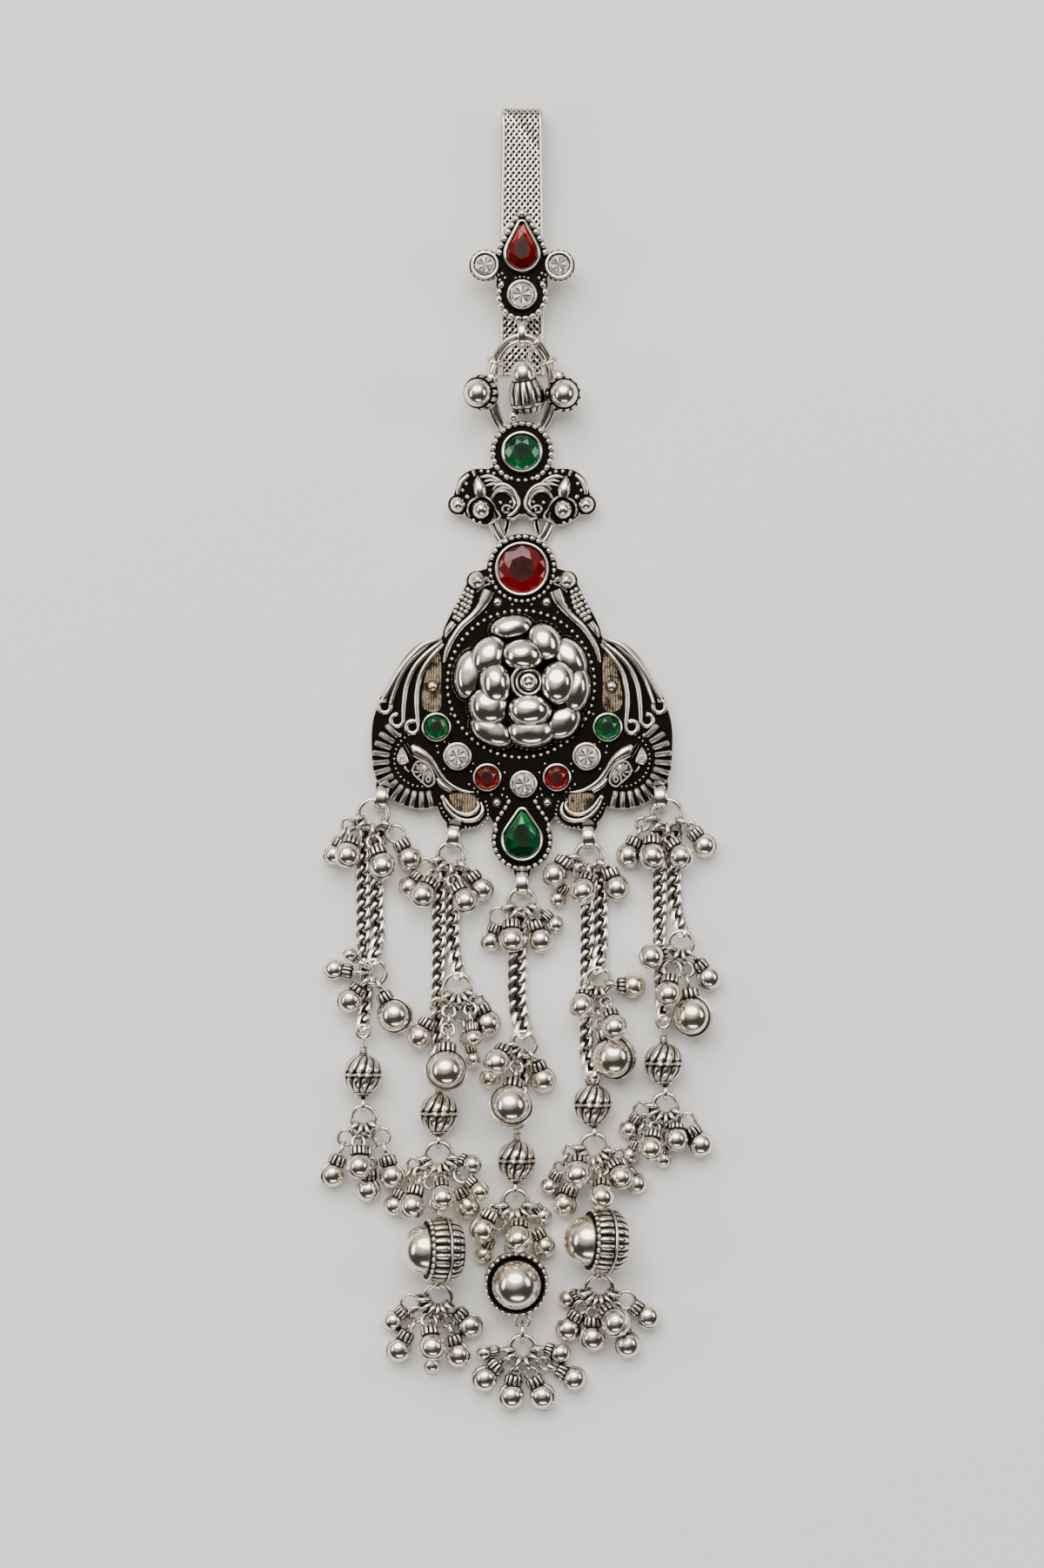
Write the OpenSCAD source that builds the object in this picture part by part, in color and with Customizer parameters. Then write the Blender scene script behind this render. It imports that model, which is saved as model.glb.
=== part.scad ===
/* [Strap hook] */
// Width of the strap at its bend
strap_w = 8.2; // [7:0.1:9]
// Width of the strap at the end of its back leg
strap_foot_w = 9.2; // [8:0.1:10]
// Thickness of the strap
strap_t = 0.8; // [0.6:0.1:0.9]
// Clear height between the two legs of the hook
hook_gap = 4.6; // [4.4:0.1:4.8]
// How far the hook reaches above the origin, along Y
hook_top_y = 127.2; // [124:0.1:130]
// Where the front leg ends, under the top plaque
strap_front_y = 92; // [88:0.5:94]
// Where the back leg ends, below the top plaque
strap_back_y = 75.2; // [74:0.1:80]

/* [Plaques] */
// Thickness of the three silver plates
plate_t = 1.2; // [1:0.1:1.3]
// Height of the middle and main plates above the surface
plate_z = 2.4; // [2.4:0.1:2.6]
// Height of a bezel above its plate
bezel_h = 1.3; // [1:0.1:1.6]
// Wall of a bezel
bezel_wall = 0.55; // [0.4:0.05:0.7]
// Thickness of the raised scroll wires
scroll_wire = 0.9; // [0.7:0.05:1.1]

/* [Stones] */
// Diameter of the large red stone
red_d = 9.4; // [8:0.1:10]
// Diameter of the green stone of the middle plaque
green_d = 7; // [6:0.1:7.4]
// Diameter of the small round stones
small_stone_d = 4.6; // [4:0.1:5]
// Play between a stone and its bezel
stone_play = 0.13; // [0.12:0.01:0.16]

/* [Rings and bells] */
// Width of the two oval rings' wire
oval_wire_w = 1.9; // [1.6:0.1:2]
// Thickness of the two oval rings' wire
oval_wire_t = 1.2; // [1.1:0.1:1.3]
// Radius of the jump rings' wire
ring_wire = 0.42; // [0.35:0.01:0.45]
// Radius of the wire of a bell's loop
loop_wire = 0.33; // [0.3:0.01:0.36]
// Largest radius of a bell's loop
loop_max_r = 1.3; // [1.1:0.05:1.4]
// Height of the ribbed crown on a bell
crown_h = 1; // [0.8:0.1:1.1]
// Width of a rope chain
chain_w = 2.2; // [2:0.1:2.4]
// Thickness of a rope chain
chain_t = 1.4; // [1.2:0.1:1.5]

/* [Hidden] */
$fn = 32;

gap = 0.1;
ring_play = 0.14;
sink = 0.08;
loop_lift = 0.3;
bail_r = 2.6;
bail_w = 1.4;
bail_z = 2.65;
plate_top = plate_z + plate_t;
strap_top = 2 * strap_t + hook_gap;
hook_plate_z = strap_top + gap;
hook_plate_top = hook_plate_z + plate_t;
bend_r = strap_top / 2;
oval_z = 0.6 + oval_wire_t / 2;
oval_loop_r = 1.6;

// The top plaque: pear setting, side stones and lower lobe, as [x, y]
top_pear = [0, 98.2];
top_pear_r = 3.1;
top_pear_rise = 5.2;
top_side = [7.2, 96];
top_low = [0, 90.2];

// The oval rings, as [centre y, half width, half height] of the wire's middle line
upper_oval = [72.5, 6.1, 9.45];
lower_oval = [50.3, 6.2, 9.3];
upper_oval_rise = 0.27;
top_loop = [0, 82.8, hook_plate_z + 0.6];

// Stones of the middle and main plaques, as [x, y]
mid_stone = [0, 59.9];
red_stone = [0, 37.1];
green_side = [16.7, 6.2];
clear_side = [12.6, 0.5];
red_side = [6.8, -3.6];
clear_low = [0.3, -4.9];
green_pear = [0, -15.8];
green_pear_r = 3.6;
green_pear_rise = 3.3;

// The flower: each petal as [x, y, half width, half height, turn, base, rise], on plate_top
flower_c = [0, 14.8];
petals = [
    [-2.4, 25.8, 3.8, 2.3, 8, 0, 3.2],
    [4.7, 23.2, 3.2, 3.4, 30, 0, 4.2],
    [9.6, 20.2, 2.7, 4.5, 30, 0, 3.6],
    [-6.7, 20.2, 3.2, 3.9, -35, 0, 4.6],
    [-11, 16.8, 2.3, 4.8, -12, 0, 3.2],
    [-6.8, 10.2, 3.9, 3.6, 20, 0, 4.2],
    [-5.7, 5.8, 4.4, 2.6, -30, 0, 3],
    [1.7, 5.6, 4.8, 2.9, 0, 0, 3.8],
    [7.1, 7, 2.8, 4, -48, 0, 3],
    [9.8, 12.4, 2.3, 4.8, -12, 0, 3.8],
    [0, 20.6, 4, 2.8, 0, 1.6, 4.4],
    [-5.4, 14.8, 2.7, 4.2, 5, 1.6, 4.4],
    [1.8, 9.2, 4.1, 2.9, 0, 1.6, 4.4],
    [6.7, 14.9, 2.9, 4.1, -5, 1.6, 4.4]
];
button = [1.2, 14.9];

// Eyelets on the main plaque, each as [x, y, direction of its bail in degrees]
eyelets = [
    [-26.9, -5.2, 257], [-13.1, -12.8, 261], [0, -21.9, 270], [12.9, -12.9, 273], [26.8, -5.1, 277]
];

// Jump rings are [x, y, z, radius, tilt]. Bells are [turn on the ring, x, y, z, radius].
// Strand 1, at the outer left
s1_top = [-29.1, -10.8, 2.65, 2.9, 0];
s1_top_bells = [
    [194, -36.9, -18.6, 2.2, 2.1], [221, -34, -18.7, 6.5, 2.5], [268, -27.2, -20.8, 5.3, 2.65],
    [325, -22, -19.3, 2.6, 2.5]
];
s1_mid = [-28.9, -41.6, 3.5, 2.4, 0];
s1_mid_bells = [
    [180, -36.7, -41, 2.4, 2.15], [143, -33.6, -38, 5.4, 1.4], [225, -33.7, -47, 3.3, 2.5],
    [292, -24.8, -49.9, 3.6, 3.5]
];
s1_bead = [-31, -61.5, 3.7];
s1_low = [-31, -70, 3.6, 2.3, 0];
s1_low_bells = [
    [223, -37.2, -81.1, 2.7, 2.5], [256, -31.8, -79.3, 6, 2.5], [289, -30.1, -84.1, 2.5, 2.4],
    [324, -25.3, -81.3, 3.3, 2.55]
];
s1_chain_a = [
    [-30.6, -14.3, 2.4], [-30.9, -16.6, 1.4], [-31, -20, 0.9], [-31, -28, 0.9], [-31, -35.5, 0.9],
    [-30.4, -42, 0.9], [-30.6, -47.5, 0.9], [-30.9, -49.6, 2.4], [-31, -51.2, 3.5]
];
s1_chain_b = [
    [-27.5, -14.3, 2.4], [-28, -16.6, 1.4], [-28.4, -20, 0.9], [-28.4, -28, 0.9], [-28.2, -34, 0.9],
    [-28.5, -36.8, 2.4], [-28.8, -38.4, 3.2]
];

// Strand 2
s2_top = [-13.9, -18.9, 2.65, 2.6, 0];
s2_top_bells = [
    [195, -22.1, -24.9, 2.1, 2.05], [227, -19.4, -26.5, 6.4, 2.5], [272, -11, -27.6, 5.9, 2.5],
    [321, -7.8, -25.3, 2.6, 2.4]
];
s2_mid = [-12.6, -44.5, 3.5, 2.6, 0];
s2_mid_bells = [
    [219, -20, -54.1, 3.8, 2.45], [247, -14.8, -60.6, 8.4, 4.1], [277, -9.5, -58.6, 2.7, 1.7],
    [305, -9.5, -54.4, 5.8, 1.7], [334, -6.7, -51.6, 2.7, 2.6]
];
s2_bead = [-16.2, -69.1, 3.7];
s2_low = [-16.3, -77.5, 3.6, 2.7, 0];
s2_low_bells = [
    [190, -25, -87.2, 2.1, 2.05], [216, -21.4, -87, 6.2, 2.5], [275, -15.4, -85.3, 8.7, 2.5],
    [303, -10.6, -87.3, 2.6, 2.5], [329, -8.2, -84.1, 6.2, 1.9], [355, -9.7, -79, 4.8, 1.9]
];
s2_drum = [-14.4, -95.6, 6.5];
s2_bottom = [-16.4, -105, 3.8, 2.6, 15];
s2_bottom_bells = [
    [183, -25.2, -109.8, 2.1, 2.05], [214, -24.1, -115.3, 2.6, 2.5], [240, -17.5, -114.4, 7, 2.65],
    [268, -17.6, -118.4, 1.8, 1.7], [295, -12.4, -116.3, 3, 2.5], [322, -10.1, -110.6, 2.6, 2.5]
];
s2_chain_a = [
    [-15.5, -22.2, 2.4], [-16, -24.6, 1.3], [-16.2, -29, 0.9], [-16.2, -38, 0.9], [-16.4, -47, 0.9],
    [-16.6, -54, 0.9], [-16.4, -57, 2.4], [-16.2, -59.2, 3.5]
];
s2_chain_b = [
    [-12.2, -22.1, 2.4], [-12.9, -24.6, 1.3], [-13.6, -29, 0.9], [-13.4, -37, 0.9],
    [-13, -39.3, 2.4], [-12.6, -41, 3.2]
];

// Strand 3, in the middle
s3_top = [-0.1, -27.8, 2.65, 2.5, 0];
s3_top_bells = [
    [202, -6.2, -35.5, 2.1, 2.05], [239, -2, -35.2, 5.2, 2.5], [304, 3.6, -35.3, 2.9, 2.45],
    [335, 6.6, -32.2, 2.8, 1.7]
];
s3_mid = [0.4, -55.6, 3.5, 2.4, 0];
s3_mid_bells = [
    [182, -5, -59, 7.9, 2.6], [217, -6.3, -62.3, 2.6, 2.05], [248, -2.3, -67.5, 8.7, 4.3],
    [306, 4.1, -62.6, 2.6, 2.55]
];
s3_bead = [-1, -78.3, 3.7];
s3_low = [-1.3, -86.6, 3.6, 2.5, 0];
s3_low_bells = [
    [190, -7.8, -91.8, 5.2, 2.6], [223, -7.5, -96.7, 2, 1.9], [284, -0.7, -93.4, 8.2, 2.7],
    [314, 4.4, -95.2, 2.4, 2.3], [351, 4.1, -89.2, 2.1, 1.7]
];
s3_dome = [-1.1, -102.3, 2.6];
s3_bottom = [0.1, -115.2, 2.8, 2.6, 0];
s3_bottom_bells = [
    [182, -7.4, -116, 2.3, 1.5], [210, -7.3, -120.9, 2.7, 2.6], [252, -2.1, -124.5, 2.7, 2.6],
    [288, 4, -124.5, 2.7, 2.6], [326, 10.2, -121, 2.5, 2.4], [2, 7.5, -116, 2.6, 2.05]
];
s3_chain_a = [
    [-0.3, -31.2, 2.6], [-0.6, -33.8, 1.2], [-0.8, -38, 0.9], [-0.9, -46, 0.9], [-0.5, -50, 1],
    [0.2, -52.6, 3.3]
];
s3_chain_b = [
    [0.4, -58.6, 3], [0.2, -61, 1.6], [0, -64, 1.2], [-0.6, -67, 1.6], [-1, -68.6, 2.9]
];

// Strand 4
s4_top = [13.1, -19, 2.65, 2.6, 0];
s4_top_bells = [
    [181, 6.3, -22.5, 3.9, 2.5], [223, 7, -27.3, 1.9, 1.7], [268, 11.8, -25.8, 6.7, 2.6],
    [331, 18.5, -25.1, 3.4, 2.5]
];
s4_mid = [15, -43.2, 3.5, 2.4, 0];
s4_mid_bells = [
    [220, 11.6, -48.1, 6.6, 2.5], [255, 18.1, -58.1, 4.5, 4.4], [288, 18, -52.1, 9.4, 2.5],
    [345, 21.8, -44.2, 2.5, 2.4]
];
s4_bead = [13.8, -67.4, 3.7];
s4_low = [14.1, -75.9, 3.6, 2.7, 0];
s4_low_bells = [
    [179, 5.4, -83.5, 2, 1.9], [206, 10.8, -80.8, 8.6, 2.7], [232, 8.4, -86.9, 2.6, 2.5],
    [295, 15.4, -85, 10.6, 2.5], [322, 19.3, -81.4, 6.5, 2.4], [350, 22.4, -83, 2.1, 2.05]
];
s4_drum = [17.2, -93.9, 6.5];
s4_bottom = [15.1, -103.3, 3.8, 2.6, 15];
s4_bottom_bells = [
    [195, 8.9, -105.5, 1.9, 1.7], [224, 9, -111.3, 2.5, 2.45], [252, 13.8, -113, 3.5, 2.6],
    [282, 18.3, -109.6, 7.6, 2.8], [312, 20.6, -114.4, 2.7, 2.6], [340, 24.6, -108.9, 2.5, 2.45]
];
s4_chain_a = [
    [11.3, -22.4, 2.4], [12.1, -25, 1.3], [12.8, -29, 0.9], [12.8, -38, 0.9], [12.7, -47, 0.9],
    [12.6, -54, 0.9], [12.6, -57.4, 0.9], [13, -59, 2.2], [13.4, -60.3, 3.4]
];
s4_chain_b = [
    [14.9, -22.3, 2.4], [15.4, -25, 1.3], [15.5, -29, 0.9], [15.5, -36, 0.9], [15.2, -38.3, 2.4],
    [15, -40, 3.2]
];

// Strand 5, at the outer right
s5_top = [28.4, -10.8, 2.65, 2.9, 0];
s5_top_bells = [
    [193, 20.8, -18.8, 2.5, 2.4], [228, 25.4, -18.9, 5.3, 2.6], [271, 31.1, -18.9, 5.6, 2.4],
    [334, 35.7, -16.8, 2.5, 2.4]
];
s5_mid = [31, -36, 3.5, 2.4, 0];
s5_mid_bells = [
    [203, 25.1, -38.5, 6.7, 2.5], [248, 28.5, -45.7, 7.6, 2.5], [281, 33.4, -50.1, 4.6, 4.05],
    [314, 36.6, -42.7, 2.6, 2.5]
];
s5_bead = [27.6, -59.3, 3.7];
s5_low = [28, -67.7, 3.6, 2.4, 0];
s5_low_bells = [
    [178, 20.9, -72.3, 2, 1.9], [209, 21.1, -77.4, 1.9, 1.7], [240, 25.1, -75.8, 6.4, 2.4],
    [271, 27.6, -78.2, 1.9, 1.7], [302, 30.1, -74.1, 4.8, 2.3], [333, 34.9, -75.2, 2.8, 2.5]
];
s5_chain_a = [
    [26.9, -14.3, 2.4], [27, -16.8, 1.3], [27, -21, 0.9], [27, -30, 0.9], [27.1, -40, 0.9],
    [27.3, -46, 0.9], [27.5, -48, 2.4], [27.6, -49.3, 3.5]
];
s5_chain_b = [
    [30, -14.3, 2.4], [29.9, -16.8, 1.3], [29.8, -21, 0.9], [30, -28.5, 0.9], [30.5, -31, 2.4],
    [31, -32.7, 3.2]
];

function unit(v) = v / norm(v);
function pick(list, i) = list[(i + len(list)) % len(list)];
function ring_point(ring, turn) = [
    ring[0] + ring[3] * cos(turn),
    ring[1] + ring[3] * sin(turn) * cos(ring[4]),
    ring[2] + ring[3] * sin(turn) * sin(ring[4])
];
function ring_way(ring, turn) = [-sin(turn), cos(turn) * cos(ring[4]), cos(turn) * sin(ring[4])];
function oval_points(oval, bottom_z, rise, steps) = [
    for (i = [0:steps - 1])
        let (a = 360 * i / steps, lift = oval[2] * (1 + sin(a)))
            [oval[1] * cos(a), oval[0] + oval[2] * sin(a), bottom_z + lift * rise]
];
function arc_points(c, r, from, to, steps) = [
    for (i = [0:steps]) let (a = from + (to - from) * i / steps) c + r * [cos(a), sin(a)]
];

// Places its children at p, with their z axis along z_way and their x axis along x_way
module place(p, z_way, x_way) {
    z = unit(z_way);
    x = unit(x_way - (x_way * z) * z);
    y = cross(z, x);
    multmatrix([
        [x[0], y[0], z[0], p[0]],
        [x[1], y[1], z[1], p[1]],
        [x[2], y[2], z[2], p[2]],
        [0, 0, 0, 1]
    ]) children();
}

// Solid through a list of rings that all have the same number of points
module loft(rings, closed = false) {
    n = len(rings[0]);
    m = len(rings);
    points = [for (ring = rings) for (p = ring) p];
    walls = [
        for (i = [0:(closed ? m - 1 : m - 2)]) for (j = [0:n - 1])
            let (
                a = i * n + j,
                b = i * n + (j + 1) % n,
                c = ((i + 1) % m) * n + (j + 1) % n,
                d = ((i + 1) % m) * n + j
            ) each [[a, c, b], [a, d, c]]
    ];
    caps = closed ? [] : [[for (j = [0:n - 1]) j], [for (j = [n - 1:-1:0]) (m - 1) * n + j]];
    polyhedron(points = points, faces = concat(walls, caps));
}

// Flat oval tube along a list of points, narrower at its two ends
module tube(path, w, t, sides = 8, closed = false, end = 1) {
    m = len(path);
    rings = [
        for (i = [0:m - 1])
            let (
                before = closed ? pick(path, i - 1) : path[max(i - 1, 0)],
                after = closed ? pick(path, i + 1) : path[min(i + 1, m - 1)],
                way = unit(after - before),
                side = unit(cross([0, 0, 1], way)),
                up = cross(way, side),
                s = !closed && (i == 0 || i == m - 1) ? end : 1
            ) [
                for (k = [0:sides - 1])
                    let (a = 360 * (k + 0.5) / sides)
                        path[i] + side * s * w / 2 * cos(a) + up * s * t / 2 * sin(a)
            ]
    ];
    loft(rings, closed);
}

// Outline of a pear: a round end of radius r at the origin and a point of radius tip, rise above it
module pear_outline(r, rise, tip) {
    lean = asin((r - tip) / rise);
    polygon(concat(
        arc_points([0, 0], r, 180 - lean, 360 + lean, 20),
        arc_points([0, rise], tip, lean, 180 - lean, 4)
    ));
}

module plate(z, h = plate_t) {
    translate([0, 0, z]) linear_extrude(h) children();
}

// Cut stone with a flat table, seated at z
module round_stone(p, z, d) {
    r = d / 2 - stone_play;
    levels = [[0.55, 0], [0.92, 0.7], [1, 0.9], [1, 1.15], [0.62, 1.75]];
    translate([p[0], p[1], z])
        loft([
            for (level = levels)
                [for (k = [0:11]) [r * level[0] * cos(30 * k), r * level[0] * sin(30 * k), level[1]]]
        ]);
}

module pear_stone(p, z, r, rise, tip) {
    levels = [[0.6, 0], [1, 0.8], [1, 1.1], [0.62, 1.8]];
    lean = asin((r - tip) / rise);
    outline = concat(
        arc_points([0, 0], r - stone_play, 180 - lean, 360 + lean, 12),
        arc_points([0, rise], tip - stone_play, lean, 180 - lean, 2)
    );
    middle = [0, rise * 0.3];
    translate([p[0], p[1], z])
        loft([
            for (level = levels)
                [
                    for (q = outline)
                        let (s = middle + (q - middle) * level[0]) [s[0], s[1], level[1]]
                ]
        ]);
}

// Round bezel with a seat ring, standing on the surface at z
module bezel(p, z, d) {
    translate([p[0], p[1], z - 0.2]) difference() {
        cylinder(h = bezel_h + 0.2, r = d / 2 + bezel_wall);
        translate([0, 0, 0.2]) cylinder(h = bezel_h + 1, r = d / 2);
    }
}

module rim(p, z, r, wire = 0.4) {
    translate([p[0], p[1], z]) rotate_extrude() translate([r, 0]) circle(wire);
}

// Domed stud on the surface at z
module stud(p, z, r) {
    translate([p[0], p[1], z - 0.26]) rotate_extrude() intersection() {
        translate([0, 0.2]) circle(r);
        square([r, r + 0.2]);
    }
}

module jump_ring(ring, wire = ring_wire) {
    translate([ring[0], ring[1], ring[2]]) rotate([ring[4], 0, 0])
        rotate_extrude() translate([ring[3], 0]) circle(wire);
}

// Round bell with its ribbed crown, its z axis towards the loop
module bell_body(r) {
    sphere(r);
    cylinder(h = r + crown_h, r = 0.62 * r);
}

// Wire loop square to the ring at p, as [its radius, its centre, its far point], for a body at b
// whose top is reach from b
function loop_at(p, way, b, reach) =
    let (
        t = unit(way),
        across = (b - p) - ((b - p) * t) * t,
        spread = norm(across),
        grip = loop_wire + ring_wire + ring_play,
        top = reach - sink,
        room = spread - sqrt(max(0, top * top - norm(b - p) * norm(b - p) + spread * spread)),
        r = min(loop_max_r, (room + grip) / 2),
        c = p + unit(across) * (r - grip)
    ) [r, c, c + unit(across) * r];

module hanger(p, way, b, reach) {
    loop = loop_at(p, way, b, reach);
    place(loop[1], way, loop[2] - loop[1])
        rotate_extrude() translate([loop[0], 0]) circle(loop_wire);
    place(b, loop[2] - b, way) translate([0, 0, reach - 0.3])
        cylinder(h = norm(loop[2] - b) - reach + 0.3, r = 0.8 * loop_wire);
}

module bell(ring, row) {
    p = ring_point(ring, row[0]);
    b = [row[1], row[2], row[3]];
    way = ring_way(ring, row[0]);
    reach = row[4] + crown_h;
    place(b, loop_at(p, way, b, reach)[2] - b, way) bell_body(row[4]);
    hanger(p, way, b, reach);
}

module bells(ring, rows) {
    color("silver") {
        jump_ring(ring);
        for (row = rows) bell(ring, row);
    }
}

// Large bell with a domed face and a wide ribbed band, its dome along z
module domed_drum() {
    back = -2.6;
    front = 4.4;
    rotate_extrude() polygon([
        [0, back], [5, back], [6, back + 1], [6.4, 0.9], [6.1, front - 1], [5.3, front], [0, front]
    ]);
    translate([0, 0, front]) sphere(4.6);
    translate([0, 0, front - 0.4]) rotate_extrude() translate([5.6, 0]) circle(0.45);
}

module drum(p, dome_way, from, way) {
    place(p, dome_way, [0, 1, 0]) domed_drum();
    hanger(from, way, [p[0], p[1], p[2]], 5.6);
}

// Gadrooned bead with a bore along Y
module melon(p) {
    lobes = 10;
    levels = [for (i = [0:6]) -75 + 25 * i];
    bead_r = 3.55;
    bore_r = 0.55;
    side = [
        for (v = levels)
            [
                for (k = [0:3 * lobes - 1])
                    let (
                        a = 120 * k / lobes + v * 0.15,
                        r = bead_r * cos(v) * (k % 3 == 0 ? 0.86 : 1)
                    ) [r * cos(a), bead_r * sin(v), -r * sin(a)]
            ]
    ];
    bore = [
        for (v = [levels[6], levels[0]])
            [
                for (k = [0:3 * lobes - 1])
                    let (a = 120 * k / lobes + v * 0.15)
                        [bore_r * cos(a), bead_r * sin(v), -bore_r * sin(a)]
            ]
    ];
    translate(p) loft(concat(side, bore), closed = true);
}

// Bead on its wire: a loop above it for the chain, a cap and a loop below it round the ring
// top is how far the upper loop stands above the bead
module melon_bead(p, ring, top) {
    loop_r = 1.2;
    top_y = p[1] + 3.45 + top;
    low = ring_point(ring, 90) + [0, loop_lift, 0];
    color("silver") {
        melon(p);
        translate([p[0], top_y, p[2]]) rotate_extrude() translate([loop_r, 0]) circle(loop_wire);
        translate([low[0], low[1], p[2]]) rotate([0, 90, 0])
            rotate_extrude() translate([loop_r, 0]) circle(loop_wire);
        translate([p[0], low[1] + loop_r - sink, p[2]]) rotate([-90, 0, 0])
            cylinder(h = top_y - low[1] - 2 * (loop_r - sink), r = loop_wire);
        translate([p[0], p[1] - 4.2, p[2]]) rotate([-90, 0, 0]) cylinder(h = 0.6, r = 1.5);
        translate([p[0], p[1] + 3.6, p[2]]) rotate([-90, 0, 0]) cylinder(h = 0.7, r = 0.8);
    }
}

// Flat band bent into a ring that stands on edge, seen from its side
module bail(row) {
    way = [cos(row[2]), sin(row[2]), 0];
    wall = 0.55;
    c = [row[0], row[1], bail_z] + (bail_r - wall / 2) * way;
    color("silver") place(c, cross(way, [0, 0, 1]), way)
        translate([0, 0, -bail_w / 2]) difference() {
            cylinder(h = bail_w, r = bail_r);
            translate([0, 0, -1]) cylinder(h = bail_w + 2, r = bail_r - wall);
        }
}

// Staple under a plate that an oval ring passes through, its mouth along X
module staple(y) {
    wall = 0.45;
    inside = oval_wire_w + 0.8;
    difference() {
        translate([-0.8, y - inside / 2 - wall, 0])
            cube([1.6, inside + 2 * wall, plate_z + 0.2]);
        translate([-2, y - inside / 2, wall]) cube([4, inside, plate_z - wall]);
    }
}

module hook_strap() {
    color("silver") intersection() {
        rotate([90, 0, 90]) translate([0, 0, -10]) linear_extrude(20) {
            translate([strap_back_y, 0]) square([hook_top_y - bend_r - strap_back_y, strap_t]);
            translate([strap_front_y, strap_t + hook_gap])
                square([hook_top_y - bend_r - strap_front_y, strap_t]);
            translate([hook_top_y - bend_r, bend_r]) difference() {
                circle(bend_r);
                circle(bend_r - strap_t);
                translate([-2 * bend_r, -bend_r]) square([2 * bend_r, 2 * bend_r]);
            }
        }
        linear_extrude(strap_top + 1) polygon([
            [-strap_foot_w / 2, strap_back_y - 1], [strap_foot_w / 2, strap_back_y - 1],
            [strap_foot_w / 2, strap_front_y], [strap_w / 2, hook_top_y - 2 * bend_r],
            [strap_w / 2, hook_top_y + 1], [-strap_w / 2, hook_top_y + 1],
            [-strap_w / 2, hook_top_y - 2 * bend_r], [-strap_foot_w / 2, strap_front_y]
        ]);
    }
}

module top_plaque() {
    z = hook_plate_top;
    color("silver") {
        difference() {
            union() {
                plate(hook_plate_z) {
                    translate(top_pear) pear_outline(4.9, 6.6, 1.7);
                    for (side = [-1, 1]) translate([side * top_side[0], top_side[1]]) circle(3.1);
                    translate(top_low) circle(4.75);
                    translate([-6, 91]) square([12, 5.5]);
                }
                plate(z - 0.1, bezel_h + 0.1) translate(top_pear)
                    pear_outline(top_pear_r + bezel_wall, top_pear_rise, 0.9 + bezel_wall);
            }
            plate(z, bezel_h + 1) translate(top_pear)
                pear_outline(top_pear_r, top_pear_rise, 0.9);
        }
        for (side = [-1, 1]) {
            bezel([side * top_side[0], top_side[1]], z, small_stone_d - 0.4);
            rim([side * top_side[0], top_side[1]], z, 2.88, 0.15);
        }
        bezel(top_low, z, small_stone_d + 0.3);
        rim(top_low, z, 4.2, 0.35);
        stud([0, 106.3], z, 0.9);
        translate([top_loop[0] - 0.8, top_loop[1], top_loop[2]]) rotate([0, 90, 0]) difference() {
            cylinder(h = 1.6, r = 2.85);
            translate([0, 0, -1]) cylinder(h = 4, r = 2.2);
        }
    }
}

module upper_ring() {
    color("silver")
        tube(oval_points(upper_oval, oval_z, upper_oval_rise, 28), oval_wire_w, oval_wire_t,
            closed = true);
}

module lower_ring() {
    color("silver")
        tube(oval_points(lower_oval, oval_z, 0, 28), oval_wire_w, oval_wire_t, closed = true);
}

module upper_bells() {
    // Each bell as [turn on the oval, x, y, z] and its dome's direction
    rows = [
        [[148, -7.9, 71.2, 7.7], [-0.55, -0.35, 0.76]],
        [[66, 0.4, 71.8, 5.6], [0.1, 0.75, 0.66]],
        [[32, 7.9, 71, 6.3], [0.1, 0, 1]]
    ];
    color("silver") for (row = rows) {
        turn = row[0][0];
        c = [row[0][1], row[0][2], row[0][3]];
        p = [
            upper_oval[1] * cos(turn),
            upper_oval[0] + upper_oval[2] * sin(turn),
            oval_z + upper_oval[2] * (1 + sin(turn)) * upper_oval_rise
        ];
        way = [
            -upper_oval[1] * sin(turn),
            upper_oval[2] * cos(turn),
            upper_oval[2] * cos(turn) * upper_oval_rise
        ];
        place(c, row[1], [0, 1, 0]) scale(0.5) domed_drum();
        out = (c - p) - ((c - p) * unit(way)) * unit(way);
        q = p + oval_loop_r * unit(out);
        place(p, way, out) rotate_extrude() translate([oval_loop_r, 0]) circle(loop_wire);
        place(c, q - c, way) cylinder(h = norm(q - c), r = 0.8 * loop_wire);
    }
}

module scroll(c, r, from, to, z, wire = scroll_wire) {
    translate([c[0], c[1], z]) rotate([0, 0, from])
        rotate_extrude(angle = to - from) translate([r, 0]) circle(wire / 2);
}

module mid_plaque() {
    z = plate_top;
    wing = [
        [0, 49.6], [-3.2, 48.6], [-5.4, 46.4], [-8.8, 45.8], [-11.6, 47.6], [-13.6, 48.6],
        [-13.2, 52], [-12, 55.4], [-9.4, 57.2], [-6, 58], [0, 62]
    ];
    color("silver") {
        plate(plate_z) {
            translate(mid_stone) circle(6.25);
            polygon(wing);
            mirror([1, 0]) polygon(wing);
        }
        bezel(mid_stone, z, green_d);
        rim(mid_stone, z, 5.5, 0.5);
        for (side = [0, 1]) mirror([side, 0, 0]) {
            scroll([-2.9, 50.5], 2.1, -60, 190, z, 1.1);
            stud([-12.5, 49.2], z, 1.7);
            stud([-8, 48.4], z, 2.3);
            tube(
                [[-5.2, 52.6, z], [-7.4, 54.3, z + 0.3], [-9.6, 54.8, z + 0.2], [-11.6, 53, z]],
                1.1, 1.1, sides = 6, end = 0.6
            );
            tube([[-8.2, 50.6, z], [-8.3, 52.6, z + 0.5], [-9.2, 55.2, z + 0.1]], 2, 1.5, sides = 6,
                end = 0.3);
        }
        for (y = [upper_oval[0] - upper_oval[2], lower_oval[0] + lower_oval[2]]) staple(y);
    }
}

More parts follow.
